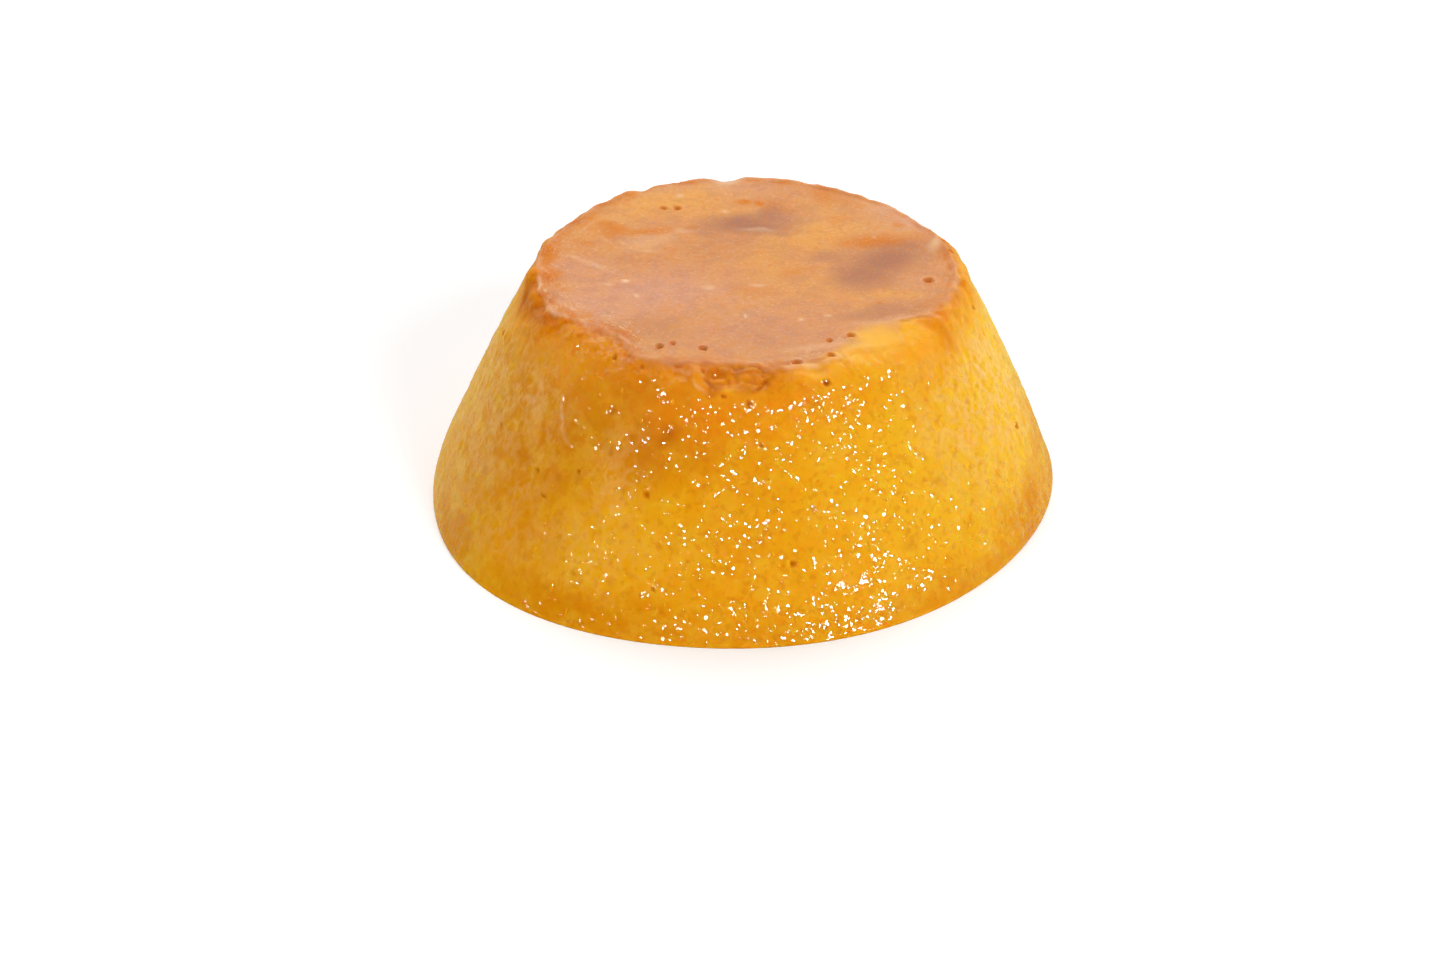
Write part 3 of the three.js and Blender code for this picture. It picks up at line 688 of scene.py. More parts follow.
DEEP_ZONES = [  # by height
    (-114, 25.5, 9, 7, 1), (-136, 21, 9, 9, 0.9), (-137, 12, 7, 6, 0.5), (-117, 17, 6, 6, 0.1),
    (-92, 22, 6, 5, 0.15), (-152, 25.5, 6, 4.5, 0.6), (-150, 14, 6, 5, 0.4), (-158, 3, 12, 3.6, 0.8),
    (-122, 2.2, 14, 2.6, 0.6), (-90, 1.2, 10, 1.6, 0.25), (-40, 1, 14, 2.4, 0.5), (-18, 2.2, 9, 4.4, 1),
    (-5, 5, 7, 6, 0.9), (-2, 11, 5, 7, 0.6), (-95, 20, 7, 5, 0.1), (60, 3, 20, 4, 0.5),
    (110, 26, 12, 5, 0.6), (150, 3.5, 16, 4.5, 0.5), (40, 27, 9, 4, 0.4),
]
TAN_ZONES = [  # by height
    (-162, 18, 15, 13, 1), (-170, 10, 10, 9, 0.8), (165, 14, 16, 12, 0.8), (120, 9, 12, 9, 0.5),
    (-135, 9, 7, 4, 0.35), (-100, 15, 5, 6, 0.1),
]
LEMON_ZONES = [  # by height
    (-48, 17, 18, 11, 0.8), (-20, 18, 14, 12, 0.9), (20, 15, 18, 12, 0.8), (70, 16, 12, 10, 0.5),
    (-68, 18, 9, 9, 0.6), (-125, 12.5, 7, 6, 0.7), (-111, 13, 8, 6, 0.6), (-112, 18, 5, 5, 0.6),
    (-120, 10, 5, 4, 0.8),
]
HOLLOW_DEPTH = 0.1  # millimetres below its surroundings at which a dip's painted shade is darkest
SMOOTHINGS = 14

wander = []
for k in (11, 23):
    wander.append(sum(reach * smooth_noise(points, length, (k, 2 * k, 5)) for reach, length in WARP) / MM)
flat_x = (points[:, 0] - TOP_LEAN - BASE_CENTRE[0]) / MM
flat_y = (points[:, 1] - BASE_CENTRE[1]) / MM
from_axis = np.hypot(flat_x, flat_y)
height = points[:, 2] / MM
on_the_top = np.clip(2 - travel, 0, 1)


def stains(spots):
    """Soft, ragged ovals on the top."""
    total = np.zeros(len(points))
    for x, y, length, width, turn, strength in spots:
        calm = min(1, width)
        u = flat_x + calm * wander[0] - x
        v = flat_y + calm * wander[1] - y
        c, s = math.cos(math.radians(turn)), math.sin(math.radians(turn))
        far = np.hypot((u * c + v * s) / length, (v * c - u * s) / width)
        total = np.maximum(total, strength * soft(far, 1 + STAIN_EDGE, 1 - STAIN_EDGE))
    return total * on_the_top


def patches(spots, down):
    """Soft, ragged ovals on the side."""
    total = np.zeros(len(points))
    for azimuth, middle, width, rise, strength in spots:
        calm = min(1, rise)
        gap = ((azimuths - azimuth + 180) % 360 - 180) * math.pi / 180 * from_axis
        far = np.hypot((gap + calm * wander[0]) / width, (down + calm * wander[1] - middle) / rise)
        total = np.maximum(total, strength * soft(far, 1 + STAIN_EDGE, 1 - STAIN_EDGE))
    return total


def hollows():
    """How far each point lies below its surroundings, in millimetres."""
    ends = np.empty(2 * len(body_mesh.edges), np.int32)
    body_mesh.edges.foreach_get("vertices", ends)
    a, b = ends.reshape(-1, 2).T
    count = np.bincount(a, minlength=len(points)) + np.bincount(b, minlength=len(points))
    smooth = points.copy()
    for _ in range(SMOOTHINGS):
        around = np.zeros(points.shape)
        for k in range(3):
            for one, other in ((a, b), (b, a)):
                around[:, k] += np.bincount(one, smooth[other, k], len(points))
        smooth = (smooth + around / count[:, None]) / 2
    return np.sum((smooth - points) * facing, axis=1) / MM


below_top = HEIGHT / MM - height + STRAY_BELOW * (wander[0] + wander[1])
on_the_side = travel > 1
above_foot = travel < FOOT_EDGE
# Painted shade and light: hollows of the relief are coloured darker and ridges paler, standing in for the
# shade and light that fall on them.
painted_relief_shade = hollows() / HOLLOW_DEPTH
baked = np.interp(turned, *zip(*CRUST))
crust = CRUST_SHARE
for share, length, offset in CRUST_BREAKS:
    crust = crust + share * smooth_noise(points, length, offset)
crust = np.clip(crust, 0, 1) * baked * bump(past_skin - CRUST_PLACE, CRUST_WIDTH)
# Painted light: the orange under the rim is thinned on the front right, where the key lamp falls, so that
# side reads brighter.
missing, bright_azimuth, bright_spread = LIT_SIDE_PAINT
painted_lit_side = 1 - missing * bump(azimuth_gap(azimuths, bright_azimuth), bright_spread)
veil_and_sheen = patches(VEIL_AND_SHEEN_ZONES, height) * on_the_side
scorch_and_shade = np.maximum(patches(RIM_SCORCH_AND_SHADE, below_edge), SPOT_STRENGTH * patches(WALL_SPOTS, height))
glare_start, glare_whole = (GLARE_REACH * share for share in GLARE_FADE)
for name, values in {
    "past_skin": past_skin,
    "skin_edge": skin_edge,
    "crust": crust,
    "baked_edge": baked * soft(past_skin, *BAKED_EDGE),
    "baked": baked * soft(past_skin, *BAKED_BELOW),
    "wrinkled": np.interp(turned, *zip(*WRINKLED)),
    "torn": patches(TORN_ZONES, below_edge),
    "painted_rim_light": patches(PAINTED_RIM_LIGHT_ZONES, below_edge),
    "veil_and_sheen": veil_and_sheen,
    "wet": np.interp(turned, *zip(*WET)) * (1 - VEIL_DRIES * veil_and_sheen),
    "dry": patches(DRY_ZONES, height),
    "ruffle": 1 + RUFFLED * patches(RUFFLED_ZONES, height) - CALMED * patches(CALM_ZONES, height),
    "burnt": stains(BURNT_PATCHES),
    "amber": stains(AMBER_STREAKS),
    "golden": stains(GOLDEN_ZONES),
    "rose": stains(ROSE_ZONES),
    "fleck": stains(PAINTED_GLINT_FLECKS),
    "under_rim": soft(below_top, *UNDER_RIM) * painted_lit_side * on_the_side,
    "scorch_and_shade": scorch_and_shade,
    "deep": patches(DEEP_ZONES, height) * on_the_side,
    "tan": patches(TAN_ZONES, height),
    "lemon": patches(LEMON_ZONES, height),
    "painted_hole_shade": painted_hole_shade,
    "calm": soft(np.linalg.norm(points - GLARE_PLACE, axis=1), glare_start, glare_whole),
    "fold": np.clip(fold / FOLD_SHADE, 0, 1),
    # painted shade: crevices are coloured darker the deeper they are
    "crevice": np.clip(crevice / CREVICE_SHADE, 0, 1),
    "painted_relief_shade": np.clip(painted_relief_shade, 0, 1) * above_foot,
    "painted_ridge_light": np.clip(-painted_relief_shade, 0, 1) * above_foot,
}.items():
    body_mesh.attributes.new(name, "FLOAT", "POINT").data.foreach_set("value", np.asarray(values, np.float32))

# --------------------------------------------------------------------------------- custard: its wet finish
# Set egg custard is a translucent curd: cloudy and veined between soft round pores, in a wet film that
# mirrors the lamps in small glints. The baked skin on top is duller and smoother.

PORE_SPACING = 2.1 * MM
VEIN_SPACING = 2.0 * MM
CLOUDS = (4.2 * MM, 4.0, 0.6, 0.42, 0.62)
CURD_BEND = (2.4 * MM, 1.0, 1.0 * MM)  # over what length the curd's pattern bends, its detail, and how far
PORE_CHANCE = (0.3, 1.0, 0.13, 0.34)  # which cells have a pore, and its radius as a share of its cell
PORE_SHADE = (1.0, 0.25)
VEIN_WIDTH = 0.055
CELL_WALL = (0.3, 0.62, 0.8)  # how far from a pore the pale curd starts and is whole, and how pale it is
VEIL_CELL = 1.5 * MM
VEIL_RUN = 0.62  # how much slower the veil changes up the wall than along it
VEIL_BEND = (VEIL_CELL / 0.6, 3.0, 1.5 * MM)
VEIL_LINE = (0.26, 0.02)  # how far from the middle of its lines the net starts and is whole, in cells
VEIL_SHARE = 0.8
NEAR_EDGE = (-7.0, -1.5)  # millimetres past the skin's edge where it starts to be wrinkled, and is so wholly
WRINKLES = (0.6 * MM, 2.0)
WRINKLE_WIDTH = 0.05
WRINKLE_RUN = 0.28  # how much slower the wrinkles change along the rim than across it
FRAY = (0.6 * MM, 3.0, 0.6)
FRAY_REACH = 1.6
FRAYED_EDGE = (-0.35, 0.9)
# A pattern of noise: its length, how much finer detail it has and how strong that is, between which values
# of the noise it fades in, and where it isn't from zero to one, its least and most.
VEIL_PATCHES = (1.5 * VEIL_CELL, 5.0, 0.74, 0.45, 0.62, 0.0, 0.8)
NET_KEPT = (2.0 * MM, 3.0, 0.6, 0.4, 0.62, 0.1, 0.9)
SPOTS = (0.9 * MM, 1.0, 0.5, 0.55, 0.68)
BLOTCHES = (7 * MM, 3.0, 0.6, 0.35, 0.65)
MOTTLE = (2.6 * MM, 4.0, 0.6, 0.38, 0.64)
SPECKS = (0.5 * MM, 2.0, 0.7, 0.52, 0.7)
BAKED_FLECKS = (1.3 * MM, 3.0, 0.6, 0.4, 0.62)
AMBER_FLECKS = (1.1 * MM, 2.0, 0.5, 0.56, 0.68)
WRINKLE_GAPS = (1.9 * MM, 1.0, 0.5, 0.38, 0.6)
GRAIN = (0.62 * MM, 2.0, 0.6)
YELLOW = (0.80, 0.35, 0.0, 1)
LEMON = (0.84, 0.44, 0.006, 1)
DEEP = (0.64, 0.21, 0.0, 1)
TAN = (0.68, 0.235, 0.002, 1)
PALE = (0.88, 0.53, 0.03, 1)
VEIL_AND_SHEEN = (0.89, 0.50, 0.16, 1)
PORE = (0.62, 0.21, 0.0, 1)
ORANGE = (0.82, 0.27, 0.0, 1)
CRUSTED = (0.58, 0.14, 0.0, 1)
BAKED = (0.70, 0.19, 0.0, 1)
PAINTED_RIM_LIGHT = (0.93, 0.46, 0.03, 1)
TORN = (0.68, 0.235, 0.012, 1)
SCORCH_AND_SHADE = (0.48, 0.105, 0.0, 1)
PEACH = (0.63, 0.255, 0.088, 1)
ROSE = (0.60, 0.262, 0.15, 1)
GOLDEN = (0.735, 0.315, 0.065, 1)
AMBER = (0.62, 0.165, 0.0, 1)
BURNT = (0.38, 0.15, 0.078, 1)
CREAM = (0.86, 0.58, 0.36, 1)
PAINTED_HOLLOW_SHADE = (0.55, 0.13, 0.0, 1)
PAINTED_CREVICE_SHADE = (0.46, 0.095, 0.0, 1)


def grow(tree, kind, sockets=None, **settings):
    """Adds a node to a tree. Each socket named takes a value, or the output that feeds it."""
    node = tree.nodes.new(kind)
    for name, value in settings.items():
        setattr(node, name, value)
    for name, value in (sockets or {}).items():
        if isinstance(value, bpy.types.NodeSocket):
            tree.links.new(value, node.inputs[name])
        else:
            node.inputs[name].default_value = value
    return node


def maths(tree, operation, *values):
    return grow(tree, "ShaderNodeMath", dict(enumerate(values)), operation=operation).outputs[0]


def vectors(tree, operation, *values):
    return grow(tree, "ShaderNodeVectorMath", dict(enumerate(values)), operation=operation).outputs[0]


def scaled(tree, vector, scale):
    return grow(tree, "ShaderNodeVectorMath", {0: vector, "Scale": scale}, operation="SCALE").outputs[0]


def times(tree, first, *others):
    """The product of several values."""
    for other in others:
        first = maths(tree, "MULTIPLY", first, other)
    return first


def soft_step(tree, value, start, end, low=0.0, high=1.0):
    """Runs smoothly from low to high as the value goes from start to end."""
    sockets = {"Value": value, "From Min": start, "From Max": end, "To Min": low, "To Max": high}
    return grow(tree, "ShaderNodeMapRange", sockets, interpolation_type="SMOOTHSTEP").outputs[0]


def noise(tree, place, length, detail, roughness=0.5):
    """Noise from 0 to 1 with lumps of a length, and finer ones on them for each step of detail."""
    scale = maths(tree, "DIVIDE", 1.0, length)
    sockets = {"Vector": place, "Scale": scale, "Detail": detail, "Roughness": roughness}
    return grow(tree, "ShaderNodeTexNoise", sockets).outputs[0]


def pattern(tree, place, length, detail, roughness, start, end, low=0.0, high=1.0):
    """Patches of noise that fade in between two of its values."""
    return soft_step(tree, noise(tree, place, length, detail, roughness), start, end, low, high)


def off_middle(tree, value):
    """How far a value from 0 to 1 lies from its middle."""
    return maths(tree, "ABSOLUTE", maths(tree, "SUBTRACT", value, 0.5))


def bent(tree, place, length, detail, reach, middle=(0, 0, 0)):
    """The place, led astray over a length, as far as the reach."""
    way = grow(tree, "ShaderNodeTexNoise", {"Vector": place, "Scale": 1 / length, "Detail": detail})
    way = vectors(tree, "SUBTRACT", way.outputs["Color"], middle)
    return vectors(tree, "ADD", place, scaled(tree, way, reach))


def curd(tree, place, pore_spacing, vein_spacing):
    """The grain of the custard, as masks: its round pores, its pale veins and its clouds."""
    bent_place = bent(tree, place, *CURD_BEND, middle=(0.5, 0.5, 0.5))
    cloud = pattern(tree, place, *CLOUDS)
    scale = maths(tree, "DIVIDE", 1.0, pore_spacing)
    cell = grow(tree, "ShaderNodeTexVoronoi", {"Vector": bent_place, "Scale": scale})
    far = cell.outputs["Distance"]
    chance = grow(tree, "ShaderNodeSeparateXYZ", {"Vector": cell.outputs["Color"]}).outputs[0]
    pore = soft_step(tree, maths(tree, "DIVIDE", far, soft_step(tree, chance, *PORE_CHANCE)), *PORE_SHADE)
    line = off_middle(tree, noise(tree, bent_place, vein_spacing, 2.0))
    vein = times(tree, soft_step(tree, line, VEIN_WIDTH, 0.0), soft_step(tree, cloud, 0.0, 0.8, 0.2, 0.8))
    start, whole, share = CELL_WALL
    wall = times(tree, soft_step(tree, far, start, whole), cloud, share)
    return pore, maths(tree, "MAXIMUM", vein, wall), cloud


def attribute(tree, name):
    return grow(tree, "ShaderNodeAttribute", attribute_name=name).outputs["Fac"]


def blend_number(tree, share, a, b):
    return grow(tree, "ShaderNodeMix", {0: share, 2: a, 3: b}, data_type="FLOAT").outputs[0]


def blend_colour(tree, share, a, b):
    return grow(tree, "ShaderNodeMix", {0: share, 6: a, 7: b}, data_type="RGBA").outputs[2]


def washed(tree, colour, washes):
    """A colour under several washes of stain and painted light and shade: where each lies, as a mask or an
    attribute's name, how strong, its colour.
    """
    for mask, strength, wash in washes:
        if isinstance(mask, str):
            mask = attribute(tree, mask)
        colour = blend_colour(tree, times(tree, mask, strength), colour, wash)
    return colour


stains_and_painted_light = bpy.data.node_groups.new("custard stains and painted light", "ShaderNodeTree")
tree = stains_and_painted_light
for name, value in (("Pore Spacing", PORE_SPACING), ("Vein Spacing", VEIN_SPACING), ("Veil", VEIL_SHARE)):
    tree.interface.new_socket(name, in_out="INPUT", socket_type="NodeSocketFloat").default_value = value
tree.interface.new_socket("Color", in_out="OUTPUT", socket_type="NodeSocketColor")
for name in ("Bare", "Vein", "Wrinkle"):
    tree.interface.new_socket(name, in_out="OUTPUT", socket_type="NodeSocketFloat")
given = grow(tree, "NodeGroupInput").outputs
place = grow(tree, "ShaderNodeTexCoord").outputs["Object"]
pore, vein, cloud = curd(tree, place, given["Pore Spacing"], given["Vein Spacing"])
fray = times(tree, maths(tree, "SUBTRACT", noise(tree, place, *FRAY), 0.5), FRAY_REACH)
bare = soft_step(tree, maths(tree, "ADD", attribute(tree, "skin_edge"), fray), *FRAYED_EDGE)
upright = vectors(tree, "MULTIPLY", place, (1, 1, VEIL_RUN))
net = {"Vector": bent(tree, upright, *VEIL_BEND), "Scale": 1 / VEIL_CELL}
net = grow(tree, "ShaderNodeTexVoronoi", net, feature="DISTANCE_TO_EDGE").outputs["Distance"]
net = times(tree, soft_step(tree, net, *VEIL_LINE), pattern(tree, place, *NET_KEPT))
veil_and_sheen = maths(tree, "MAXIMUM", pattern(tree, upright, *VEIL_PATCHES), net)
veiled = times(tree, attribute(tree, "veil_and_sheen"), given["Veil"])
grain = noise(tree, place, *GRAIN)

slow = grow(tree, "ShaderNodeSeparateXYZ", {"Vector": scaled(tree, place, WRINKLE_RUN)})
past = times(tree, attribute(tree, "past_skin"), MM)
rim_place = grow(tree, "ShaderNodeCombineXYZ", {0: slow.outputs[0], 1: slow.outputs[1], 2: past}).outputs[0]
near_edge = soft_step(tree, attribute(tree, "past_skin"), *NEAR_EDGE)
near_edge = times(tree, near_edge, attribute(tree, "wrinkled"))
wrinkle = soft_step(tree, off_middle(tree, noise(tree, rim_place, *WRINKLES)), WRINKLE_WIDTH, 0.0)
parted = pattern(tree, place, *WRINKLE_GAPS)
wrinkle = times(tree, wrinkle, near_edge, parted, maths(tree, "SUBTRACT", 1.0, bare))
mottle = pattern(tree, place, *MOTTLE)
near_rim = times(tree, attribute(tree, "baked"), bare)

colour = washed(tree, YELLOW, [
    ("lemon", 1.0, LEMON),
    ("tan", 1.0, TAN),
    ("deep", 1.0, DEEP),
    (cloud, 0.1, PALE),
    (vein, 0.28, PALE),
    (pattern(tree, place, *SPOTS), 0.32, PORE),
    (pore, 0.45, PORE),
    # partly the pale net of the curd, partly painted sheen at the sides
    (veil_and_sheen, veiled, VEIL_AND_SHEEN),
    (times(tree, soft_step(tree, grain, 0.47, 0.37), veiled), 0.3, DEEP),
    ("under_rim", soft_step(tree, pattern(tree, place, *BLOTCHES), 0.0, 1.0, 0.5, 0.9), ORANGE),
    # painted light on ridges
    ("painted_ridge_light", 0.2, PALE),
    ("torn", 0.85, TORN),
])
hide = washed(tree, PEACH, [
    ("rose", 1.0, ROSE),
    ("golden", 1.0, GOLDEN),
    (mottle, 0.22, GOLDEN),
    (soft_step(tree, mottle, 0.4, 0.0), 0.16, BURNT),
    (times(tree, pattern(tree, rim_place, *AMBER_FLECKS), near_edge), 0.5, AMBER),
    ("baked_edge", pattern(tree, place, *BAKED_FLECKS), AMBER),
    ("amber", 1.0, AMBER),
    ("burnt", 1.0, BURNT),
    (pattern(tree, place, *SPECKS), soft_step(tree, attribute(tree, "burnt"), 0.0, 1.0, 0.19, 0.08), CREAM),
    (soft_step(tree, grain, 0.48, 0.36), 0.3, AMBER),
    # painted glints and sheen on the top
    ("fleck", 0.7, CREAM),
    (wrinkle, 0.45, CREAM),
])
colour = washed(tree, blend_colour(tree, bare, hide, colour), [
    ("crust", 0.85, CRUSTED),
    (near_rim, 0.6, BAKED),
    (times(tree, near_rim, soft_step(tree, grain, 0.51, 0.62)), 0.5, SCORCH_AND_SHADE),
    (times(tree, near_rim, soft_step(tree, grain, 0.45, 0.34)), 0.12, PEACH),
    # painted highlight on the front right of the rim
    ("painted_rim_light", 1.0, PAINTED_RIM_LIGHT),
    ("fold", 0.5, CREAM),
    # painted shade in hollows
    ("painted_relief_shade", 0.4, PAINTED_HOLLOW_SHADE),
    # scorched caramel, and painted shade in the torn patch
    ("scorch_and_shade", 0.7, SCORCH_AND_SHADE),
    # painted shade in the crevices
    ("crevice", 0.9, PAINTED_CREVICE_SHADE),
    # painted shade in the bubble mouths
    ("painted_hole_shade", 1.0, PAINTED_HOLLOW_SHADE),
])
grow(tree, "NodeGroupOutput", {"Color": colour, "Bare": bare, "Vein": vein, "Wrinkle": wrinkle})

FILM_EDGE = (-0.3, 1.5)  # where the film starts past the skin's edge, and is whole
FILM_CHANGE = (5 * MM, 2.0, 0.5, 0.36, 0.6, 0.6, 1.0)
FILM_WAVE = (2.4 * MM, 1.0, 0.4)
FILM_HEIGHT = 0.3  # of its waves, in millimetres
FILM_SHARE = (0.0, 0.8, 0.25, 1.0)  # from and to how wet it is, and how strong the film is there
HIDE_FILM = 0.55
GLARE_CALM = (0.4, 1.0, 0.08, 1.0)  # from and to where the film gets uneven, as shares of the spot's reach
FLECK = 0.34 * MM  # size of the small flat flecks that the film breaks into
FLECK_TILT = 0.72
FLECK_BEND = (0.6 * MM, 1.0, 0.35 * MM)
CURD_STEP = 0.02
custard = bpy.data.materials.new("wet custard")
custard.use_nodes = True
tree = custard.node_tree
tree.nodes.clear()
stain = grow(tree, "ShaderNodeGroup", {}, node_tree=stains_and_painted_light)
place = grow(tree, "ShaderNodeTexCoord").outputs["Object"]
from_glare = {0: place, 1: Vector(GLARE_PLACE)}
from_glare = grow(tree, "ShaderNodeVectorMath", from_glare, operation="DISTANCE").outputs["Value"]
start, whole, least, most = GLARE_CALM
wet = attribute(tree, "wet")
uneven = times(
    tree,
    soft_step(tree, from_glare, GLARE_REACH * start, GLARE_REACH * whole, least, most),
    attribute(tree, "ruffle"),
    pattern(tree, place, *FILM_CHANGE),
    soft_step(tree, attribute(tree, "skin_edge"), *FILM_EDGE),
    wet,
)
film_height = times(tree, noise(tree, place, *FILM_WAVE), uneven, FILM_HEIGHT)
wave = grow(tree, "ShaderNodeBump", {"Height": film_height, "Distance": 1 * MM, "Strength": 1.0}).outputs[0]
fleck = {"Vector": bent(tree, place, *FLECK_BEND), "Scale": 1 / FLECK}
fleck = grow(tree, "ShaderNodeTexVoronoi", fleck).outputs["Color"]
tilt = vectors(tree, "SUBTRACT", fleck, (0.5, 0.5, 0.5))
film = vectors(tree, "ADD", wave, scaled(tree, tilt, times(tree, uneven, FLECK_TILT)))
raised = times(tree, stain.outputs["Vein"], stain.outputs["Bare"], CURD_STEP)
curd_height = maths(tree, "ADD", raised, times(tree, stain.outputs["Wrinkle"], CURD_STEP))
film_share = times(tree, soft_step(tree, wet, *FILM_SHARE), soft_step(tree, attribute(tree, "dry"), 1.0, 0.0))
bumps = grow(tree, "ShaderNodeBump", {"Height": curd_height, "Distance": 1 * MM, "Strength": 1.0})
shader = grow(tree, "ShaderNodeBsdfPrincipled", {
    "Base Color": stain.outputs["Color"],
    "Roughness": 0.5,
    "IOR": 1.4,
    "Specular IOR Level": 0.0,
    "Subsurface Weight": 1.0,
    "Subsurface Scale": 0.45 * MM,
    "Subsurface Radius": (1.0, 0.45, 0.12),
    "Normal": bumps.outputs[0],
    "Coat Weight": blend_number(tree, stain.outputs["Bare"], HIDE_FILM, film_share),
    "Coat Roughness": 0.07,
    "Coat IOR": 1.4,
    "Coat Normal": vectors(tree, "NORMALIZE", film),
})
grow(tree, "ShaderNodeOutputMaterial", {"Surface": shader.outputs[0]})

# --------------------------------------------------------------------------------- custard: its fine relief
# Under the film the curd itself is uneven: slow ripples, shallow round pores and raised veins on the wall,
# and small pimples on the skin of the top.


def new_relief_tree(name, sizes):
    """A Geometry Nodes tree with a mesh in, a mesh out and named sizes, and its inputs."""
    tree = bpy.data.node_groups.new(name, "GeometryNodeTree")
    tree.interface.new_socket("Geometry", in_out="INPUT", socket_type="NodeSocketGeometry")
    for title, value in sizes.items():
        kind = "NodeSocketInt" if isinstance(value, int) else "NodeSocketFloat"
        tree.interface.new_socket(title, in_out="INPUT", socket_type=kind).default_value = value
    tree.interface.new_socket("Geometry", in_out="OUTPUT", socket_type="NodeSocketGeometry")
    return tree, grow(tree, "NodeGroupInput").outputs


def end_tree(tree, geometry, material):
    """Ends a tree in plain mesh with its material."""
    real = grow(tree, "GeometryNodeRealizeInstances", {"Geometry": geometry})
    painted = grow(tree, "GeometryNodeSetMaterial", {"Geometry": real.outputs[0], "Material": material})
    grow(tree, "NodeGroupOutput", {"Geometry": painted.outputs[0]})


def run_tree(thing, tree, sizes):
    """Runs a tree on an object with the sizes given, and keeps what it makes as the object's plain mesh."""
    modifier = thing.modifiers.new(tree.name, "NODES")
    modifier.node_group = tree
    for item in tree.interface.items_tree:
        if item.in_out == "INPUT" and item.name in sizes:
            modifier[item.identifier] = sizes[item.name]
    graph = bpy.context.evaluated_depsgraph_get()
    made = bpy.data.meshes.new_from_object(thing.evaluated_get(graph))
    thing.modifiers.clear()
    thing.data = made


def stored(tree, name):
    return grow(tree, "GeometryNodeInputNamedAttribute", {"Name": name}, data_type="FLOAT").outputs[0]


relief_sizes = {
    "Pore Spacing": PORE_SPACING, "Vein Spacing": VEIN_SPACING, "Pore Depth": 0.05 * MM,
    "Vein Height": 0.04 * MM, "Ripple Length": 2.4 * MM, "Ripple Height": 0.3 * MM, "Hide Ripple": 0.3,
    "Pebble Length": 1.15 * MM, "Pebble Height": 0.16 * MM, "Least Pebble": 0.4, "Most Pebble": 1.1,
    "Pimple Spacing": 4.2 * MM, "Pimple Height": 0.1 * MM, "Pimple Size": 0.13, "Foot Height": 2.5 * MM,
    "Calm Share": 0.25, "Bare From": -0.1, "Bare To": 0.5,
}
tree, given = new_relief_tree("fine relief", relief_sizes)
place = grow(tree, "GeometryNodeInputPosition").outputs[0]
bare = soft_step(tree, stored(tree, "past_skin"), given["Bare From"], given["Bare To"])
hidden = maths(tree, "SUBTRACT", 1.0, bare)
pore, vein, cloud = curd(tree, place, given["Pore Spacing"], given["Vein Spacing"])
ripple = maths(tree, "SUBTRACT", noise(tree, place, given["Ripple Length"], 1.0), 0.5)
up = times(tree, ripple, given["Ripple Height"], soft_step(tree, bare, 0.0, 1.0, given["Hide Ripple"], 1.0))
pebble = maths(tree, "SUBTRACT", noise(tree, place, given["Pebble Length"], 0.0), 0.5)
rough = soft_step(tree, stored(tree, "veil_and_sheen"), 0.0, 1.0, given["Least Pebble"], given["Most Pebble"])
up = maths(tree, "ADD", up, times(tree, pebble, given["Pebble Height"], bare, rough))
up = maths(tree, "SUBTRACT", up, times(tree, pore, given["Pore Depth"], bare))
up = maths(tree, "ADD", up, times(tree, vein, given["Vein Height"], bare))
cell = {"Vector": place, "Scale": maths(tree, "DIVIDE", 1.0, given["Pimple Spacing"])}
cell = grow(tree, "ShaderNodeTexVoronoi", cell)
pimple = times(tree, soft_step(tree, cell.outputs["Distance"], given["Pimple Size"], 0.0), hidden)
up = maths(tree, "ADD", up, times(tree, pimple, given["Pimple Height"]))
lift = grow(tree, "ShaderNodeSeparateXYZ", {"Vector": place}).outputs[2]
calm = soft_step(tree, stored(tree, "calm"), 0.0, 1.0, 1.0, given["Calm Share"])
up = times(tree, up, soft_step(tree, lift, 0.0, given["Foot Height"]), calm)
push = scaled(tree, grow(tree, "GeometryNodeInputNormal").outputs[0], up)
moved = grow(tree, "GeometryNodeSetPosition", {"Geometry": given["Geometry"], "Offset": push})
end_tree(tree, moved.outputs[0], custard)
run_tree(body, tree, relief_sizes)

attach(body, "root")
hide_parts("custard")

# ------------------------------------------------------------------------------------------- syrup beads
# Thin clear syrup wets the wall and stands on it in small beads. They are flat domes, drawn out down the
# slope near the foot, and as clear as the film, so each shows the custard under it and mirrors the lamps.

SYRUP = (0.88, 0.32, 0.0, 1)
SYRUP_SHARE = 0.4
BEAD_VEIL = 0.4
BEADS_BELOW = (1.0, 4.0)  # millimetres past the skin's edge where the beads start, and are as many as below
BEAD_PATCHES = (9 * MM, 3.0, 0.5, 0.4, 0.62, 0.08, 1.0)
BEAD_FILM = (0.5, 1.0)  # how wet the wall is where they start, and where they are most
syrup = bpy.data.materials.new("clear syrup")
syrup.use_nodes = True
tree = syrup.node_tree
tree.nodes.clear()
stain = grow(tree, "ShaderNodeGroup", {"Veil": BEAD_VEIL}, node_tree=stains_and_painted_light)
shader = grow(tree, "ShaderNodeBsdfPrincipled", {
    "Base Color": blend_colour(tree, SYRUP_SHARE, stain.outputs["Color"], SYRUP),
    "Roughness": 0.05,
    "IOR": 1.4,
})
grow(tree, "ShaderNodeOutputMaterial", {"Surface": shader.outputs[0]})

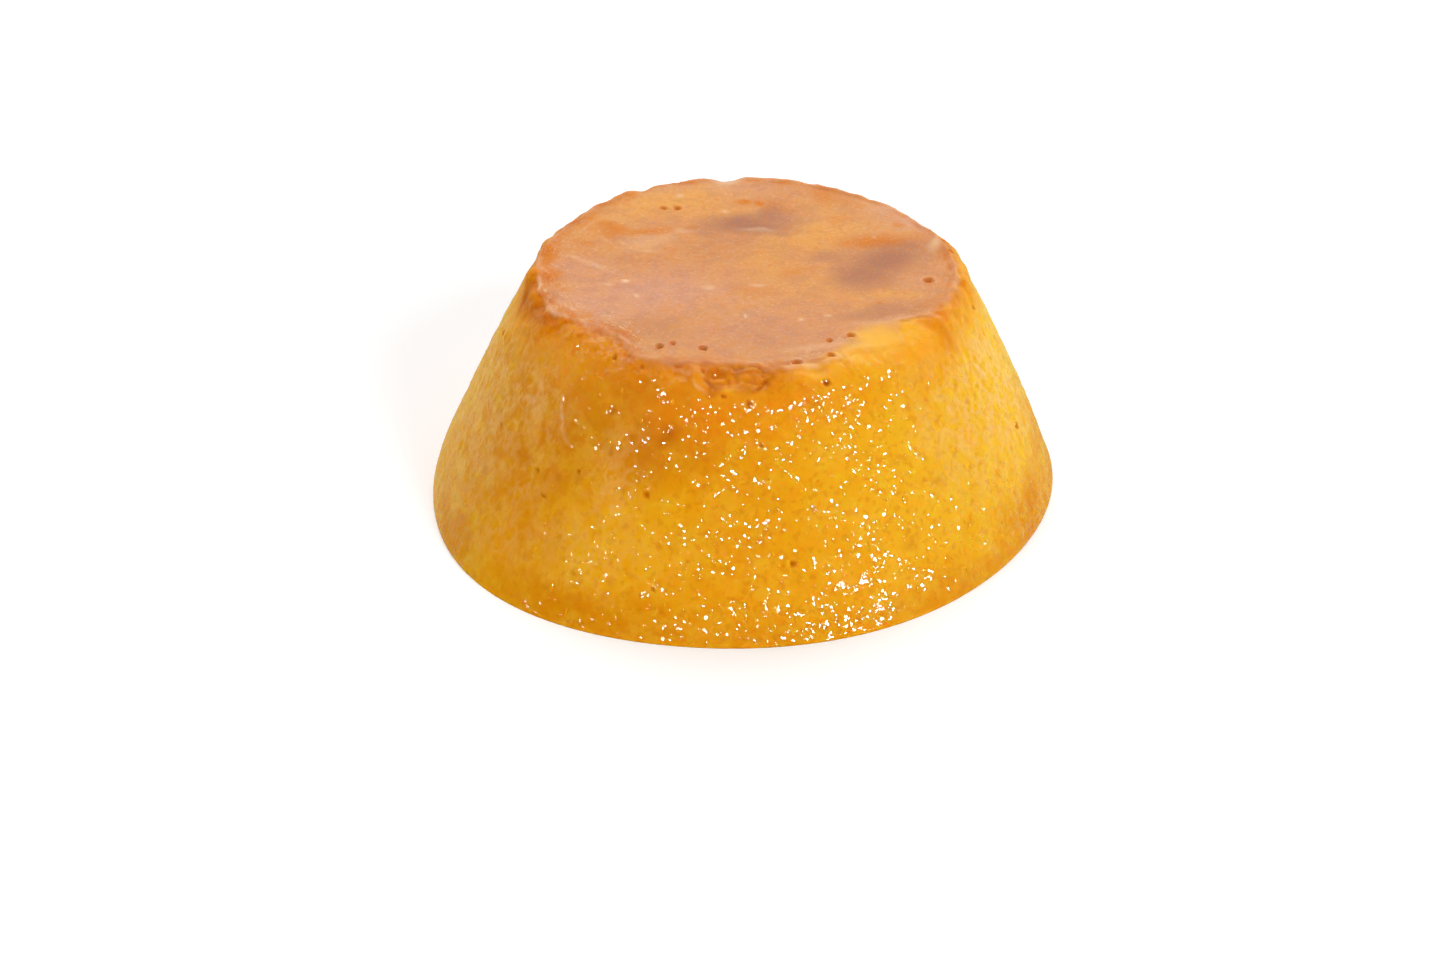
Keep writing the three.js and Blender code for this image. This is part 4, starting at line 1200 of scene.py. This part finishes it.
bead_sizes = {
    "Gap": 0.85 * MM, "Crowding": 0.5e6, "Smallest": 0.1 * MM, "Largest": 0.36 * MM, "Rareness": 4.0,
    "Flatness": 0.26, "Run Height": 7 * MM, "Run": 2.2, "Length": 1.15, "Lowest": 1.2 * MM, "Seed": 5,
}
tree, given = new_relief_tree("syrup beads", bead_sizes)
place = grow(tree, "GeometryNodeInputPosition").outputs[0]
lift = grow(tree, "ShaderNodeSeparateXYZ", {"Vector": place}).outputs[2]
clear = soft_step(tree, lift, given["Lowest"], maths(tree, "MULTIPLY", given["Lowest"], 1.6))
wet = times(
    tree,
    soft_step(tree, stored(tree, "past_skin"), *BEADS_BELOW),
    pattern(tree, place, *BEAD_PATCHES),
    soft_step(tree, stored(tree, "wet"), *BEAD_FILM),
    maths(tree, "GREATER_THAN", clear, 0.5),
)
spread = grow(tree, "GeometryNodeDistributePointsOnFaces", {
    "Mesh": given["Geometry"], "Distance Min": given["Gap"], "Density Max": given["Crowding"],
    "Density Factor": wet, "Seed": given["Seed"],
}, distribute_method="POISSON")
draw = grow(tree, "FunctionNodeRandomValue", {"Seed": given["Seed"]}, data_type="FLOAT").outputs[1]
rare = maths(tree, "POWER", draw, given["Rareness"])
size = {"Value": rare, "To Min": given["Smallest"], "To Max": given["Largest"]}
size = grow(tree, "ShaderNodeMapRange", size).outputs[0]
high = maths(tree, "MINIMUM", 1.0, maths(tree, "DIVIDE", lift, given["Run Height"]))
low = maths(tree, "SUBTRACT", 1.0, high)
length = times(tree, size, maths(tree, "ADD", given["Length"], times(tree, low, given["Run"], draw)))
dome = grow(tree, "GeometryNodeMeshUVSphere", {"Segments": 10, "Rings": 6, "Radius": 1.0}).outputs[0]
dome = grow(tree, "GeometryNodeSetShadeSmooth", {"Geometry": dome}).outputs[0]
lie = grow(tree, "FunctionNodeAlignRotationToVector", {
    "Rotation": spread.outputs["Rotation"], "Vector": (0, 0, -1)}, axis="Y", pivot_axis="Z").outputs[0]
flat = times(tree, size, given["Flatness"])
shape = grow(tree, "ShaderNodeCombineXYZ", {0: size, 1: length, 2: flat}).outputs[0]
beads = grow(tree, "GeometryNodeInstanceOnPoints", {
    "Points": spread.outputs["Points"], "Instance": dome, "Rotation": lie, "Scale": shape})
end_tree(tree, beads.outputs[0], syrup)
drops = bpy.data.objects.new("syrup_beads", body.data.copy())
bpy.context.scene.collection.objects.link(drops)
run_tree(drops, tree, bead_sizes)

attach(drops, "root")

# ------------------------------------------------------------------------------------------------ table
# A plain white table that runs out of sight.

bpy.ops.mesh.primitive_circle_add(vertices=64, radius=3, fill_type="NGON", location=(0, 0, 0))
table = bpy.context.object
table.name = "table"
white = bpy.data.materials.new("white table")
white.use_nodes = True
coat = white.node_tree.nodes["Principled BSDF"]
coat.inputs["Base Color"].default_value = (0.95, 0.95, 0.95, 1)
coat.inputs["Roughness"].default_value = 0.7
coat.inputs["Specular IOR Level"].default_value = 0.1
coat.inputs["Emission Color"].default_value = (1, 1, 1, 1)
coat.inputs["Emission Strength"].default_value = 0.15
table.data.materials.append(white)
table.visible_glossy = False

# ------------------------------------------------------------------------------------------------ light
# Soft light from the front right, weaker from the front left, and wide from above and behind. Two small hard
# lamps show only in what is glossy. The room is bright behind the pudding and dim at its sides.

ROOM = 0.13
BEHIND = (0.3, 0.8, 0.85)  # from and to which share of the way back the room brightens, and how much
BESIDE = (0.2, 0.9, 0.14)  # the same towards the right
ABOVE = (-0.1, 0.15, 0.35, 1.0)  # from and to which height, and how much of its light is left there


def softbox(name, azimuth, rise, distance, size, watts):
    """A round lamp that faces the pudding."""
    lamp = bpy.data.objects.new(name, bpy.data.lights.new(name, "AREA"))
    lamp.data.shape = "DISK"
    lamp.data.size = size
    lamp.data.energy = watts
    turn = math.radians(azimuth)
    lift = math.radians(rise)
    away = Vector((math.cos(turn) * math.cos(lift), math.sin(turn) * math.cos(lift), math.sin(lift)))
    facing = away.to_track_quat("Z", "Y").to_matrix().to_4x4()
    lamp.matrix_world = Matrix.Translation(away * distance) @ facing
    bpy.context.scene.collection.objects.link(lamp)
    return lamp


for lamp in (
    softbox("key light", -50, 32, 2.0, 0.8, 21.5),
    softbox("fill light", -142, 30, 2.0, 0.8, 9.2),
    softbox("top light", 90, 62, 2.4, 1.8, 30),
):
    lamp.visible_glossy = False
for lamp in (
    softbox("right glint", -56, 16, 0.8, 0.2, 6.6),
    softbox("left glint", -120, 26, 0.8, 0.16, 3.7),
):
    lamp.visible_diffuse = False

world = bpy.data.worlds.new("studio")
bpy.context.scene.world = world
world.use_nodes = True
tree = world.node_tree
tree.nodes.clear()
direction = grow(tree, "ShaderNodeTexCoord").outputs["Generated"]
axes = grow(tree, "ShaderNodeSeparateXYZ", {"Vector": direction})
above = soft_step(tree, axes.outputs["Z"], *ABOVE)
behind = times(tree, soft_step(tree, axes.outputs["Y"], *BEHIND[:2]), above, BEHIND[2])
beside = times(tree, soft_step(tree, axes.outputs["X"], *BESIDE[:2]), BESIDE[2])
bright = maths(tree, "ADD", maths(tree, "ADD", behind, beside), ROOM)
sky = grow(tree, "ShaderNodeBackground", {"Color": (1, 1, 1, 1), "Strength": bright})
grow(tree, "ShaderNodeOutputWorld", {"Surface": sky.outputs[0]})
bpy.context.scene.view_settings.view_transform = "Standard"
